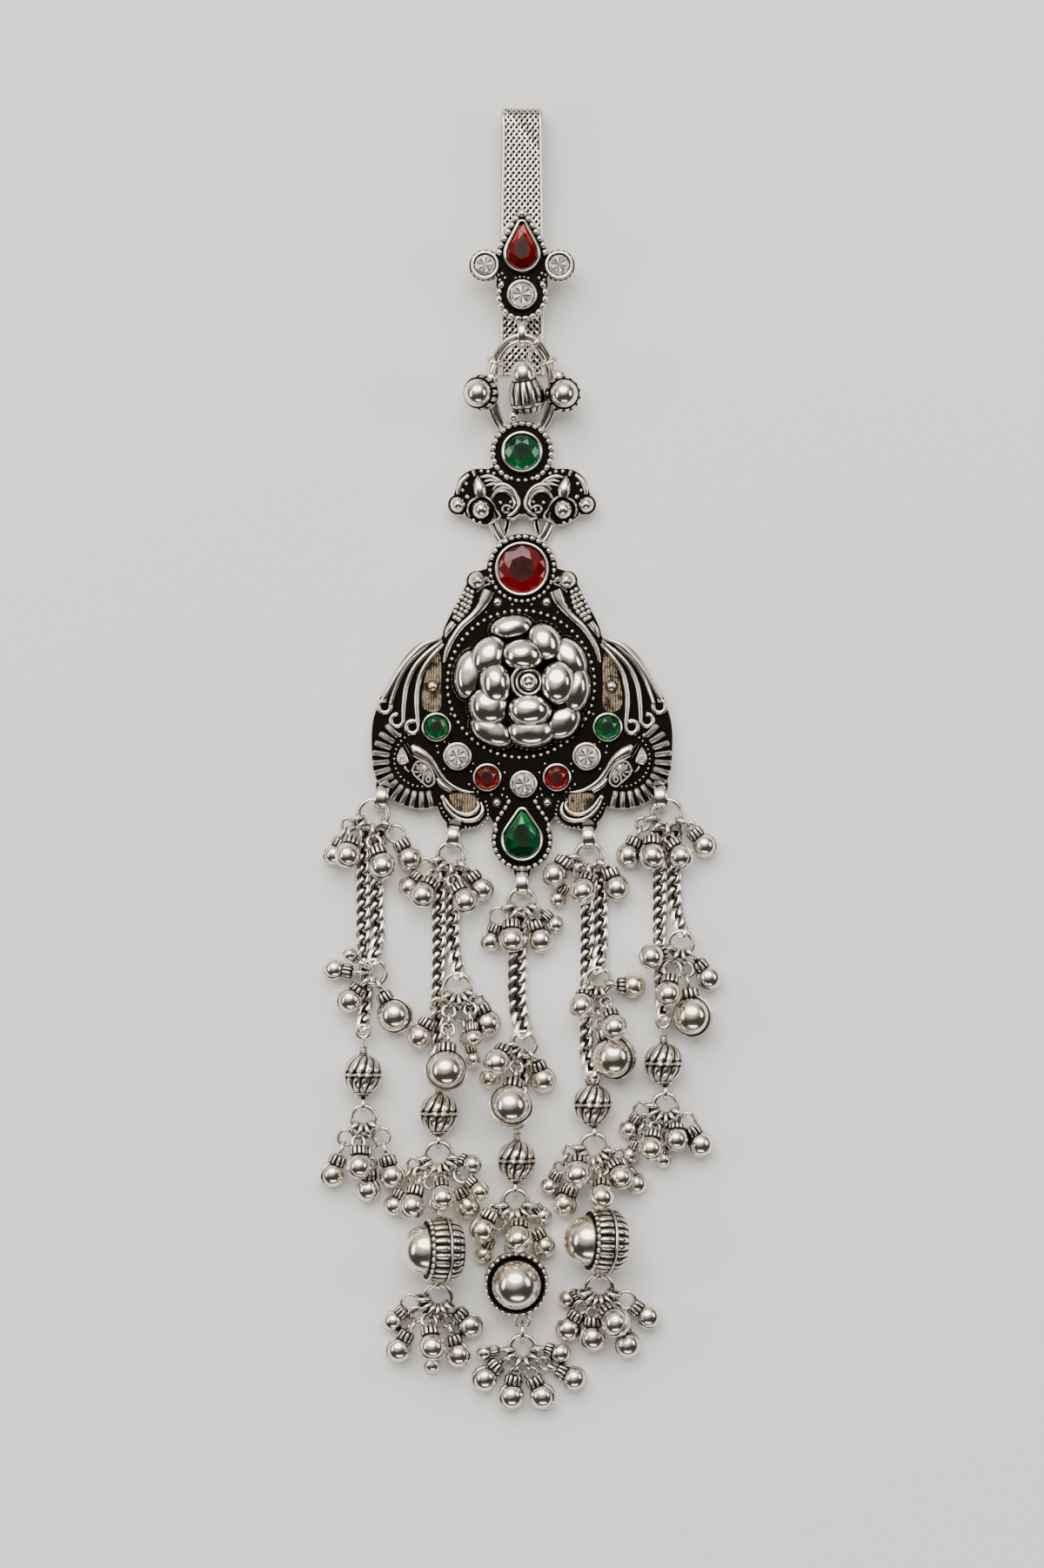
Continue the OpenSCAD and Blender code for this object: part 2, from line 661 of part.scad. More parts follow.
// Fans, wings, crescents and curls on one side of the main plaque
module main_side() {
    z = plate_top;
    fan_c = [-19.6, 0];
    fan_ribs = 17;
    eyelet_turn = 215;
    rib_w = 0.7;
    rib_h = 0.8;
    for (i = [0:fan_ribs - 1]) {
        turn = 128 + i * 160 / (fan_ribs - 1);
        length = abs(turn - eyelet_turn) < 14 ? 1.6 : 3.7;
        translate([fan_c[0], fan_c[1], z - 0.1]) rotate([0, 0, turn])
            translate([5.8, -rib_w / 2, 0]) cube([length, rib_w, rib_h]);
    }
    scroll(fan_c, 5.3, 120, 300, z, 0.8);
    // Three wing wires, each as [x, y, rise] points
    wings = [
        [[-16, 22.6, 0], [-20, 20.4, 0.4], [-23.4, 16.4, 0.4], [-25.6, 13, 0.2], [-27.2, 10.9, 0]],
        [[-15.6, 21.4, 0], [-19, 18.8, 0.4], [-21.6, 15, 0.4], [-23.4, 11.2, 0.2], [-24.6, 8.9, 0]],
        [[-15.4, 20, 0], [-17.6, 17.4, 0.4], [-19.4, 13.8, 0.4], [-20.8, 10, 0.2], [-21.8, 7.4, 0]]
    ];
    curls = [[-26.8, 10.3], [-24.1, 8], [-21.4, 6.3]];
    for (wire = wings) tube([for (p = wire) p + [0, 0, z]], 1.2, 1, sides = 6, end = 0.7);
    for (c = curls) scroll(c, 1.05, 0, 300, z + 0.1, 0.7);
    tube(
        [
            [-7.6, 32.4, z], [-8.4, 28.8, z + 0.3], [-10.8, 25.7, z + 0.3], [-13.6, 23, z + 0.3],
            [-15.4, 18.6, z + 0.2], [-15.6, 13.6, z + 0.2], [-14.6, 8.6, z]
        ],
        1.1, 1, sides = 6, end = 0.7
    );
    stud([-8.8, 34.7], z, 1.8);
    tube([[-11, 31.2, z], [-12.8, 28.4, z + 0.4], [-14.2, 25.4, z]], 2.6, 1.6, sides = 6, end = 0.4);
    stud([-4.8, 30.7], z, 1.1);
    stud([-17.1, 14.2], z, 1.25);
    stud([-4.6, -8.2], z, 0.9);
    // Small bird on the fan: head and body
    stud([-22.8, 0.4], z, 1.3);
    tube([[-22, -0.2, z], [-19.6, -2.6, z + 0.5], [-15, -5, z + 0.2], [-10, -6.4, z]], 3, 1.8,
        sides = 6, end = 0.3);
    // Crescent
    scroll([-11.4, -8.6], 3.6, 150, 330, z, 1);
    scroll([-11.4, -8.6], 2.2, 150, 330, z, 0.7);
    bezel([-green_side[0], green_side[1]], z, small_stone_d + 0.2);
    bezel([-clear_side[0], clear_side[1]], z, small_stone_d);
    bezel([-red_side[0], red_side[1]], z, small_stone_d);
}

module main_plaque() {
    z = plate_top;
    half = [
        [0, 43.6], [-6.4, 39.8], [-10.6, 35.2], [-15.2, 26.2], [-15.7, 24.3], [-21.3, 21.6],
        [-25.3, 16.3], [-28.1, 11.4], [-29.2, 8.1], [-29.4, 2.8], [-19, -4], [-6, -11], [0, -16]
    ];
    color("silver") {
        difference() {
            union() {
                plate(plate_z) {
                    translate(red_stone) circle(6.8);
                    for (side = [0, 1]) mirror([side, 0]) {
                        polygon(half);
                        translate([-19.6, 0]) circle(9.75);
                        translate([-11.4, -8.6]) circle(5.1);
                    }
                    translate(green_pear) pear_outline(5.9, 8.5, 1.6);
                    for (row = eyelets) translate([row[0], row[1]]) circle(1.75);
                }
                plate(z - 0.1, bezel_h + 0.1) translate(green_pear)
                    pear_outline(green_pear_r + bezel_wall, green_pear_rise + 1.6, 1 + bezel_wall);
            }
            for (row = eyelets) translate([row[0], row[1], 0]) cylinder(h = 10, r = 1);
            plate(z, bezel_h + 1) translate(green_pear)
                pear_outline(green_pear_r, green_pear_rise + 1.6, 1);
        }
        bezel(red_stone, z, red_d);
        rim(red_stone, z, 6.1, 0.45);
        rim(flower_c, z, 14.4, 0.4);
        bezel(clear_low, z, small_stone_d - 0.2);
        for (side = [0, 1]) mirror([side, 0, 0]) main_side();
        staple(lower_oval[0] - lower_oval[2]);
    }
}

module petal(row) {
    translate([row[0], row[1], plate_top + gap + row[5]]) rotate([0, 0, row[4]]) hull()
        for (level = [[0.8, 0], [1, 0.35], [0.93, 0.62], [0.7, 0.87], [0.3, 1]])
            translate([0, 0, level[1] * row[6]]) scale([row[2] * level[0], row[3] * level[0], 1])
                cylinder(h = 0.01, r = 1, $fn = 16);
}

module flower() {
    color("gainsboro") {
        translate([flower_c[0], flower_c[1], plate_top + gap]) cylinder(h = 2.6, r = 9, $fn = 32);
        for (row = petals) petal(row);
        translate([button[0], button[1], plate_top + gap]) {
            cylinder(h = 4.6, r = 2.4, $fn = 24);
            cylinder(h = 5, r = 1.6, $fn = 24);
        }
    }
}

module bezel_stone(p, z, d, tone) {
    color(tone) round_stone(p, z + gap, d);
}

module top_red_pear() {
    color("darkred") pear_stone(top_pear, hook_plate_top + gap, top_pear_r, top_pear_rise, 0.9);
}
module top_clear_left() {
    bezel_stone([-top_side[0], top_side[1]], hook_plate_top, small_stone_d - 0.4, "lightgray");
}
module top_clear_right() {
    bezel_stone(top_side, hook_plate_top, small_stone_d - 0.4, "lightgray");
}
module top_clear_low() { bezel_stone(top_low, hook_plate_top, small_stone_d + 0.3, "lightgray"); }
module mid_green_stone() { bezel_stone(mid_stone, plate_top, green_d, "darkgreen"); }
module main_red_stone() { bezel_stone(red_stone, plate_top, red_d, "darkred"); }
module main_green_left() {
    bezel_stone([-green_side[0], green_side[1]], plate_top, small_stone_d + 0.2, "darkgreen");
}
module main_green_right() { bezel_stone(green_side, plate_top, small_stone_d + 0.2, "darkgreen"); }
module main_clear_left() {
    bezel_stone([-clear_side[0], clear_side[1]], plate_top, small_stone_d, "lightgray");
}
module main_clear_right() { bezel_stone(clear_side, plate_top, small_stone_d, "lightgray"); }
module main_clear_low() { bezel_stone(clear_low, plate_top, small_stone_d - 0.2, "lightgray"); }
module main_red_left() { bezel_stone([-red_side[0], red_side[1]], plate_top, small_stone_d, "darkred"); }
module main_red_right() { bezel_stone(red_side, plate_top, small_stone_d, "darkred"); }
module main_green_pear() {
    color("darkgreen")
        pear_stone(green_pear, plate_top + gap, green_pear_r, green_pear_rise + 1.6, 1);
}

module chain(path, w = chain_w) {
    color("silver") tube(path, w, chain_t, end = 0.65);
}

// Drum hung from ring at turn, with a loop under it round low_ring
module drum_piece(c, dome_way, ring, turn, low_ring) {
    loop_r = 1.2;
    low = ring_point(low_ring, 90) + [0, loop_lift, 0];
    neck = low + [0, loop_r - sink, loop_lift];
    color("silver") {
        drum(c, dome_way, ring_point(ring, turn), ring_way(ring, turn));
        translate(low) rotate([0, 90, 0])
            rotate_extrude() translate([loop_r, 0]) circle(loop_wire);
        place(neck, c - neck, [1, 0, 0]) cylinder(h = 4, r = loop_wire);
    }
}

hook_strap();
top_plaque();
top_red_pear();
top_clear_left();
top_clear_right();
top_clear_low();
upper_ring();
upper_bells();
mid_plaque();
mid_green_stone();
lower_ring();
main_plaque();
flower();
main_red_stone();
main_green_left();
main_green_right();
main_clear_left();
main_clear_right();
main_clear_low();
main_red_left();
main_red_right();
main_green_pear();
bail(eyelets[0]);  // strand_1_bail
bells(s1_top, s1_top_bells);  // strand_1_top_bells
union() { chain(s1_chain_a); chain(s1_chain_b); }  // strand_1_chain
bells(s1_mid, s1_mid_bells);  // strand_1_mid_bells
melon_bead(s1_bead, s1_low, 4.9);  // strand_1_melon_bead
bells(s1_low, s1_low_bells);  // strand_1_low_bells
bail(eyelets[1]);  // strand_2_bail
bells(s2_top, s2_top_bells);  // strand_2_top_bells
union() { chain(s2_chain_a); chain(s2_chain_b); }  // strand_2_chain
bells(s2_mid, s2_mid_bells);  // strand_2_mid_bells
melon_bead(s2_bead, s2_low, 4.5);  // strand_2_melon_bead
bells(s2_low, s2_low_bells);  // strand_2_low_bells
drum_piece(s2_drum, [-1, 0.02, 0.25], s2_low, 248, s2_bottom);  // strand_2_drum
bells(s2_bottom, s2_bottom_bells);  // strand_2_bottom_bells
bail(eyelets[2]);  // strand_3_bail
bells(s3_top, s3_top_bells);  // strand_3_top_bells
union() { chain(s3_chain_a, 3.2); chain(s3_chain_b); }  // strand_3_chain
bells(s3_mid, s3_mid_bells);  // strand_3_mid_bells
melon_bead(s3_bead, s3_low, 4);  // strand_3_melon_bead
bells(s3_low, s3_low_bells);  // strand_3_low_bells
color("silver") {  // strand_3_dome
    drum(s3_dome, [0, 0, 1], ring_point(s3_low, 254), ring_way(s3_low, 254));
    translate([0.1, -109.6, 3.4]) rotate_extrude() translate([1.3, 0]) circle(0.38);
}
color("silver")  // strand_3_bottom_bail
    translate([0.1, -111.9, 3.1]) rotate([0, 90, 0]) rotate_extrude() translate([2, 0]) circle(0.45);
bells(s3_bottom, s3_bottom_bells);  // strand_3_bottom_bells
bail(eyelets[3]);  // strand_4_bail
bells(s4_top, s4_top_bells);  // strand_4_top_bells
union() { chain(s4_chain_a); chain(s4_chain_b); }  // strand_4_chain
bells(s4_mid, s4_mid_bells);  // strand_4_mid_bells
melon_bead(s4_bead, s4_low, 1.6);  // strand_4_melon_bead
bells(s4_low, s4_low_bells);  // strand_4_low_bells
drum_piece(s4_drum, [-1, 0.05, 0.3], s4_low, 265, s4_bottom);  // strand_4_drum
bells(s4_bottom, s4_bottom_bells);  // strand_4_bottom_bells
bail(eyelets[4]);  // strand_5_bail
bells(s5_top, s5_top_bells);  // strand_5_top_bells
union() { chain(s5_chain_a); chain(s5_chain_b); }  // strand_5_chain
bells(s5_mid, s5_mid_bells);  // strand_5_mid_bells
melon_bead(s5_bead, s5_low, 4.6);  // strand_5_melon_bead
bells(s5_low, s5_low_bells);  // strand_5_low_bells
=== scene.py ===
import math
import random

import bpy
import numpy as np
from mathutils import Matrix, Vector
from mathutils.geometry import tessellate_polygon


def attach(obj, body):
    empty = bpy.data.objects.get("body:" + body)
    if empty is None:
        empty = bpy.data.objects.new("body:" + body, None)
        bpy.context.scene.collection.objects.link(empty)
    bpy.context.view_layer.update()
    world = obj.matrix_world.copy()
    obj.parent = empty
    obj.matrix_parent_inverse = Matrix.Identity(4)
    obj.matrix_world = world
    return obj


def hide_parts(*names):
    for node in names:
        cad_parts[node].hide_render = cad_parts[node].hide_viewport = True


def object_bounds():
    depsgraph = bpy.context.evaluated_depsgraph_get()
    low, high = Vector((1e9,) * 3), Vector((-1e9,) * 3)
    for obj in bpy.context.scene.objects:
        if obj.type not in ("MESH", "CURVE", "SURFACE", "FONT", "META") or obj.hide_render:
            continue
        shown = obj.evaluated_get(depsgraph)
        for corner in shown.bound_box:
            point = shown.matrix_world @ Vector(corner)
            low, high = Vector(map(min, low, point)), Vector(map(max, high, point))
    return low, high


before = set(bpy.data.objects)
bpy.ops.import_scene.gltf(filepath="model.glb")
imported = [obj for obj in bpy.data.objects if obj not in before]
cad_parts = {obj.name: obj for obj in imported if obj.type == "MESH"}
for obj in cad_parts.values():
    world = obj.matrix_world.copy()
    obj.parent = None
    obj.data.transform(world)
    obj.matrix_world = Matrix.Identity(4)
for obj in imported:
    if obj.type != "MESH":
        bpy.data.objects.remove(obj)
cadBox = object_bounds()
mm = 0.001  # shapes are worked out in millimetres and made in metres

# Camera, straight above the ornament, and the photograph's frame
view = {
    "frameHeight": 306.34,  # what the picture's 1802 pixels span, in mm
    "centreY": -4.85,
    "lens": 120.0,
    "sensor": 36.0,
    "sharpHeight": 3.0,
    "clip": (0.05, 20.0),
}
lights = {
    # name: place and target in mm, width and height in mm, power in watts, colour
    "topSoftbox": [(-150, 760, 1200), (0, 0, 0), (1700, 1150), 29.0, (1, 0.975, 0.935)],
    "leftStrip": [(-520, -20, 300), (0, 0, 0), (110, 420), 0.8, (1, 0.97, 0.93)],
    "rightStrip": [(500, 80, 340), (0, 0, 0), (160, 360), 0.8, (0.97, 0.98, 1)],
    "lowFill": [(40, -520, 240), (0, -40, 0), (420, 90), 0.7, (1, 0.98, 0.95)],
}
# the room's light, brightest towards its tall windows
world = {
    "above": (1.0, 0.95, 0.87),
    "level": (0.045, 0.041, 0.037),
    "towards": (-0.2, 0.66, 0.72),
    "dimBelow": 0.38,
}
floorLook = {"size": 6.0, "colour": (0.84, 0.835, 0.825), "darker": 0.985, "grain": 900.0, "roughness": 0.7}


def inScene(name, data):
    made = bpy.data.objects.new(name, data)
    bpy.context.scene.collection.objects.link(made)
    return made


def makeCamera():
    camera = bpy.data.cameras.new("photoCamera")
    camera.lens = view["lens"]
    camera.sensor_width = view["sensor"]
    camera.clip_start, camera.clip_end = view["clip"]
    distance = view["frameHeight"] * view["lens"] / view["sensor"] + view["sharpHeight"]
    holder = inScene("photoCamera", camera)
    holder.location = (0, view["centreY"] * mm, distance * mm)
    bpy.context.scene.camera = holder


def makeLights():
    for name, (place, target, size, power, colour) in lights.items():
        lamp = bpy.data.lights.new(name, "AREA")
        lamp.shape = "ELLIPSE"
        lamp.size, lamp.size_y = (side * mm for side in size)
        lamp.energy, lamp.color = power, colour
        back = unit(np.subtract(place, target))
        across = unit(np.cross([0, 1, 0.2], back))
        rows = np.column_stack([across, np.cross(back, across), back, np.multiply(place, mm)])
        inScene(name, lamp).matrix_world = Matrix([*rows.tolist(), (0, 0, 0, 1)])
    sky = bpy.data.worlds.new("studio")
    sky.use_nodes = True
    tree = sky.node_tree
    way = addNode(tree, "ShaderNodeTexCoord").outputs["Generated"]
    facing = addNode(tree, "ShaderNodeVectorMath", {0: way, 1: unit(world["towards"])}, operation="DOT_PRODUCT")
    share = rangeNode(tree, facing.outputs["Value"], world["dimBelow"], 1.0)
    colour = mixColour(tree, share, (*world["level"], 1), (*world["above"], 1))
    fill(tree, tree.nodes["Background"], {"Color": colour, "Strength": 1.0})
    bpy.context.scene.world = sky


# Points and ways, in mm


def insideBox(point, reach):
    low, high = (np.array(corner) / mm for corner in cadBox)
    return np.clip(point, low + reach, high - reach)


def unit(v):
    v = np.asarray(v, float)
    return v / np.linalg.norm(v, axis=-1, keepdims=True)


def axesFor(zWay, xWay=(1, 0, 0)):
    # three columns: a turned frame with z along zWay and x as near to xWay as it can be
    z = unit(zWay)
    x = np.asarray(xWay, float) - np.dot(xWay, z) * z
    if np.linalg.norm(x) < 1e-6:
        x = np.cross([0.3, 1, 0.2], z)
    x = unit(x)
    return np.array([x, np.cross(z, x), z]).T


def atHeight(flat, z):
    return np.column_stack([flat, np.full(len(flat), z)])


def arc(c, r, first, last, steps):
    turn = np.radians(np.linspace(first, last, steps))
    return np.column_stack([c[0] + r * np.cos(turn), c[1] + r * np.sin(turn)])


def circleAt(c, r, steps=40):
    return lambda offset: arc(c, r + offset, 0, 360 * (1 - 1 / steps), steps)


def pearAt(c, r, rise, tip, steps=30):
    lean = math.degrees(math.asin((r - tip) / rise))

    def outline(offset):
        low = arc(c, r + offset, 180 - lean, 360 + lean, steps)
        high = arc((c[0], c[1] + rise), tip + offset, lean, 180 - lean, 7)
        sides = [np.linspace(a, b, 7)[1:-1] for a, b in ((low[-1], high[0]), (high[-1], low[0]))]
        return np.concatenate([low, sides[0], high, sides[1]])

    return outline


def smoothPath(points, steps=6, closed=False):
    # passes through every point, rounded between them
    p = np.asarray(points, float)
    n = len(p)
    made = []
    for k in range(n if closed else n - 1):
        a, b, c, d = (p[(k + s) % n] if closed else p[min(max(k + s, 0), n - 1)] for s in (-1, 0, 1, 2))
        for t in np.arange(steps) / steps:
            curve = (2 * a - 5 * b + 4 * c - d) * t**2 + (3 * b - a - 3 * c + d) * t**3
            made.append(0.5 * (2 * b + (c - a) * t + curve))
    return np.array(made if closed else [*made, p[-1]])


def domeRows(reach, base, top, turns, darkening=0.0):
    # a dome's profile at these turns above its rim, up to its tip; darkening lies at its foot
    rows = [(reach * math.cos(a), base + (top - base) * math.sin(a), 0.0) for a in np.radians(turns)]
    return [(*rows[0][:2], darkening), *rows[1:], (0.0, top)]


# Shapes: plain dictionaries of points and faces, joined into one mesh for each piece


def gridShape(rows, closed=False, patinaAndShade=0.0, caps=True):
    rows = np.asarray(rows, float)
    m, n = rows.shape[:2]
    i = np.arange(m if closed else m - 1)[:, None]
    j = np.arange(n)[None, :]
    after = ((i + 1) % m) * n
    quads = np.stack([i * n + j, i * n + (j + 1) % n, after + (j + 1) % n, after + j], -1)
    loops = [quads.reshape(-1)]
    sizes = [np.full(quads.shape[0] * n, 4)]
    if caps and not closed:
        loops += [np.arange(n)[::-1], (m - 1) * n + np.arange(n)]
        sizes += [[n], [n]]
    patinaAndShade = np.asarray(patinaAndShade, float)
    if patinaAndShade.ndim < 2:
        patinaAndShade = np.repeat(np.broadcast_to(patinaAndShade, m), n)
    return {
        "verts": rows.reshape(-1, 3),
        "loops": np.concatenate(loops),
        "sizes": np.concatenate(sizes),
        "patinaAndShade": patinaAndShade.reshape(-1),
    }


def joinShapes(shapes):
    start = np.cumsum([0] + [len(s["verts"]) for s in shapes[:-1]])
    made = {key: np.concatenate([s[key] for s in shapes]) for key in ("verts", "sizes", "patinaAndShade")}
    made["loops"] = np.concatenate([s["loops"] + k for s, k in zip(shapes, start)])
    for key in ("facetLight", "flat"):
        if any(key in s for s in shapes):
            made[key] = np.concatenate([s.get(key, np.zeros(len(s["sizes"]))) for s in shapes])
    return made


def moved(shape, origin=(0, 0, 0), axes=None, scale=1.0):
    verts = shape["verts"] * np.asarray(scale, float)
    if axes is not None:
        verts = verts @ np.asarray(axes).T
    return {**shape, "verts": verts + np.asarray(origin, float)}


def mirrored(shape):
    # the same shape on the other side of the middle line, with its faces turned round
    ends = np.cumsum(shape["sizes"])
    starts = ends - shape["sizes"]
    back = np.concatenate([np.arange(b - 1, a - 1, -1) for a, b in zip(starts, ends)])
    return {**shape, "verts": shape["verts"] * [-1, 1, 1], "loops": shape["loops"][back]}


def lathe(profile, segments=24, ribs=None):
    # profile: (radius, height, darkening for patina and painted shade, depth of the ribs) from the bottom up,
    # closed where the radius is 0
    full = [tuple(p) + (0.0,) * (4 - len(p)) for p in profile]
    rims = [p for p in full if p[0] > 1e-6]
    cut = np.tile([1.0, 0.28, 0.0, 0.28], ribs) if ribs else np.zeros(segments)
    n = len(cut)
    turn = 2 * np.pi * np.arange(n) / n
    around = np.column_stack([np.cos(turn), np.sin(turn)])
    rows = [atHeight((r - depth * cut)[:, None] * around, z) for r, z, _, depth in rims]
    patinaAndShade = [np.maximum(darkening, cut * (depth > 0)) for _, _, darkening, depth in rims]
    shape = gridShape(rows, patinaAndShade=np.array(patinaAndShade), caps=False)
    made = {key: [value] for key, value in shape.items()}
    last = (len(rims) - 1) * n
    for tip, ring, flip in ((full[0], np.arange(n), True), (full[-1], last + np.arange(n), False)):
        if tip[0] > 1e-6:
            made["loops"].append(ring[::-1] if flip else ring)
            made["sizes"].append([n])
            continue
        after = np.roll(ring, -1)
        point = np.full(n, sum(len(verts) for verts in made["verts"]))
        made["loops"].append(np.stack([point, after, ring] if flip else [ring, after, point], -1).reshape(-1))
        made["sizes"].append(np.full(n, 3))
        made["verts"].append([[0, 0, tip[1]]])
        made["patinaAndShade"].append([tip[2]])
    return {key: np.concatenate(value) for key, value in made.items()}


def wallAlong(outlineAt, profile):
    # a closed wall along an outline: profile (offset, height, darkening for patina and painted shade), outside
    # up and inside down
    rows = [atHeight(outlineAt(offset), z) for offset, z, *_ in profile]
    return gridShape(rows, closed=True, patinaAndShade=[(*p, 0)[2] for p in profile])


sections = {
    # the right half, from the edge to the middle: place across, and height
    "round": [(1, 0), (0.92, 0.42), (0.7, 0.74), (0.38, 0.94), (0, 1)],
    "channel": [(1, 0), (0.97, 0.6), (0.84, 0.95), (0.66, 0.9), (0.5, 0.55), (0.25, 0.5), (0, 0.62)],
    "ridge": [(1, 0), (0.99, 0.45), (0.86, 0.72), (0.55, 0.9), (0, 1)],
}


def leaf(points, widths, height, section="round", steps=6, z=0.0):
    # a flat-bottomed strip along a path, as wide as widths say, dark in its grooves
    path = smoothPath(np.column_stack([atHeight(points, 0.0), widths]), steps)
    core, wide = path[:, :3], np.maximum(path[:, 3], 0.02)
    side = np.cross([0, 0, 1], unit(np.gradient(core, axis=0)))
    half = np.array(sections[section])
    form = np.concatenate([half, half[-2::-1] * [-1, 1]])
    high = height * np.clip(wide / max(widths), 0.15, 1) ** 0.6
    rows = (
        core[:, None, :]
        + side[:, None, :] * (wide[:, None] / 2 * form[None, :, 0])[..., None]
        + np.array([0, 0, 1.0]) * (high[:, None] * form[None, :, 1] + z)[..., None]
    )
    darkening = [1.0 if v < 0.05 else (0.75 if v < 0.7 and abs(u) < 0.6 else 0.0) for u, v in form]
    return gridShape(rows, patinaAndShade=np.tile(darkening, (len(core), 1)))


def ballShape(rings, segments):
    turns = np.radians(np.linspace(-90, 90, rings + 1)[1:-1])
    return lathe([(0, -1), *((math.cos(a), math.sin(a)) for a in turns), (0, 1)], segments)


def studShape(r, rise, segments, collar):
    # a round stud on a low collar
    foot = [(r + collar, 0, 1.0), (r + collar, 0.12, 0.2), (r + collar * 0.6, 0.26, 0.1), (r * 0.99, 0.2, 1.0)]
    return lathe(foot + domeRows(r, 0.2, rise, (4, 18, 34, 50, 66, 80), 0.5), segments)


# Helpers for node trees


def fill(tree, node, inputs):
    # inputs: a socket's name or number, to a value or to another node's output that is linked to it
    for name, value in inputs.items():
        if isinstance(value, bpy.types.NodeSocket):
            tree.links.new(value, node.inputs[name])
        else:
            node.inputs[name].default_value = value
    return node


def addNode(tree, kind, inputs=None, **settings):
    node = tree.nodes.new(kind)
    for name, value in settings.items():
        setattr(node, name, value)
    return fill(tree, node, inputs or {})


def newTree(name, kind, inputs, outputs):
    # inputs and outputs: name, kind of socket and, where one is wanted, a value
    tree = bpy.data.node_groups.new(name, kind)
    for way, rows in (("INPUT", inputs), ("OUTPUT", outputs)):
        for label, sort, *value in rows:
            socket = tree.interface.new_socket(label, in_out=way, socket_type="NodeSocket" + sort)
            if value:
                socket.default_value = value[0]
    return tree, tree.nodes.new("NodeGroupInput").outputs


def mathNode(tree, operation, a, b, clamp=False):
    return addNode(tree, "ShaderNodeMath", {0: a, 1: b}, operation=operation, use_clamp=clamp).outputs[0]


def sumOf(tree, *terms, clamp=False):
    # all the terms added up, and only the last sum clamped
    total = terms[0]
    for k, term in enumerate(terms[1:], 2):
        total = mathNode(tree, "ADD", total, term, clamp and k == len(terms))
    return total


def swing(tree, value, share):
    # up and down by a share of how far the value is from its middle
    return mathNode(tree, "MULTIPLY", mathNode(tree, "SUBTRACT", value, 0.5), share)


def mixColour(tree, factor, a, b):
    return addNode(tree, "ShaderNodeMix", {0: factor, 6: a, 7: b}, data_type="RGBA").outputs[2]


def rangeNode(tree, value, low, high, toLow=0.0, toHigh=1.0):
    numbers = {"Value": value, "From Min": low, "From Max": high, "To Min": toLow, "To Max": toHigh}
    return addNode(tree, "ShaderNodeMapRange", numbers, interpolation_type="SMOOTHSTEP").outputs["Result"]


def noiseNode(tree, coords, scale, detail=3.0, rough=0.5):
    numbers = {"Vector": coords, "Scale": scale, "Detail": detail, "Roughness": rough}
    return addNode(tree, "ShaderNodeTexNoise", numbers).outputs["Fac"]


def bumpNode(tree, height, distance, strength):
    numbers = {"Height": height, "Distance": distance * mm, "Strength": strength}
    return addNode(tree, "ShaderNodeBump", numbers).outputs["Normal"]


def objectCoords(tree):
    return addNode(tree, "ShaderNodeTexCoord").outputs["Object"]


def pointValue(tree, name):
    return addNode(tree, "ShaderNodeAttribute", attribute_name=name).outputs["Fac"]


# Geometry Nodes trees: round wires, parts set along lines, and parts set on points

partInputs = [("Geometry", "Geometry"), ("Part", "Object"), ("Material", "Material")]


def namedValue(tree, name, kind="FLOAT"):
    return addNode(tree, "GeometryNodeInputNamedAttribute", {"Name": name}, data_type=kind).outputs["Attribute"]


def closeTree(tree, source, geometry):
    for kind in ("RealizeInstances", "SetShadeSmooth", "SetMaterial"):
        node = addNode(tree, "GeometryNode" + kind, {"Geometry": geometry})
        geometry = node.outputs["Geometry"]
    fill(tree, node, {"Material": source["Material"]})
    addNode(tree, "NodeGroupOutput", {"Geometry": geometry})
    return tree


def setParts(tree, source, spots, axes, ways, stretch):
    # the part stands on each spot, its two axes turned to the two ways
    part = addNode(tree, "GeometryNodeObjectInfo", {"Object": source["Part"]}).outputs["Geometry"]
    turn = addNode(tree, "FunctionNodeAxesToRotation", {"Primary Axis": ways[0], "Secondary Axis": ways[1]},
                   primary_axis=axes[0], secondary_axis=axes[1]).outputs["Rotation"]
    put = addNode(tree, "GeometryNodeInstanceOnPoints", {
        "Points": spots, "Instance": part, "Rotation": turn, "Scale": stretch,
    })
    return closeTree(tree, source, put.outputs["Instances"])


def buildWireTree():
    # each chain of edges becomes a round wire; "wire" holds its radius
    inputs = [("Geometry", "Geometry"), ("Sides", "Int", 8), ("Material", "Material")]
    tree, source = newTree("roundWires", "GeometryNodeTree", inputs, [("Geometry", "Geometry")])
    curve = addNode(tree, "GeometryNodeMeshToCurve", {"Mesh": source["Geometry"]}).outputs["Curve"]
    circle = addNode(tree, "GeometryNodeCurvePrimitiveCircle", {"Resolution": source["Sides"], "Radius": 1.0})
    sweep = addNode(tree, "GeometryNodeCurveToMesh", {
        "Curve": curve, "Profile Curve": circle.outputs["Curve"], "Scale": namedValue(tree, "wire"),
        "Fill Caps": True,
    })
    return closeTree(tree, source, sweep.outputs["Mesh"])


def buildLineTree(name, inputs, stretchFrom):
    # parts at an even pitch along each chain of edges, their x along the way
    tree, source = newTree(name, "GeometryNodeTree", partInputs + inputs, [("Geometry", "Geometry")])
    curve = addNode(tree, "GeometryNodeMeshToCurve", {"Mesh": source["Geometry"]}).outputs["Curve"]
    even = {"Curve": curve, "Length": source["Pitch"]}
    spots = addNode(tree, "GeometryNodeResampleCurve", even, mode="LENGTH")
    way = addNode(tree, "GeometryNodeInputTangent").outputs["Tangent"]
    return setParts(tree, source, spots.outputs["Curve"], "XZ", (way, (0, 0, 1)), stretchFrom(tree, source))


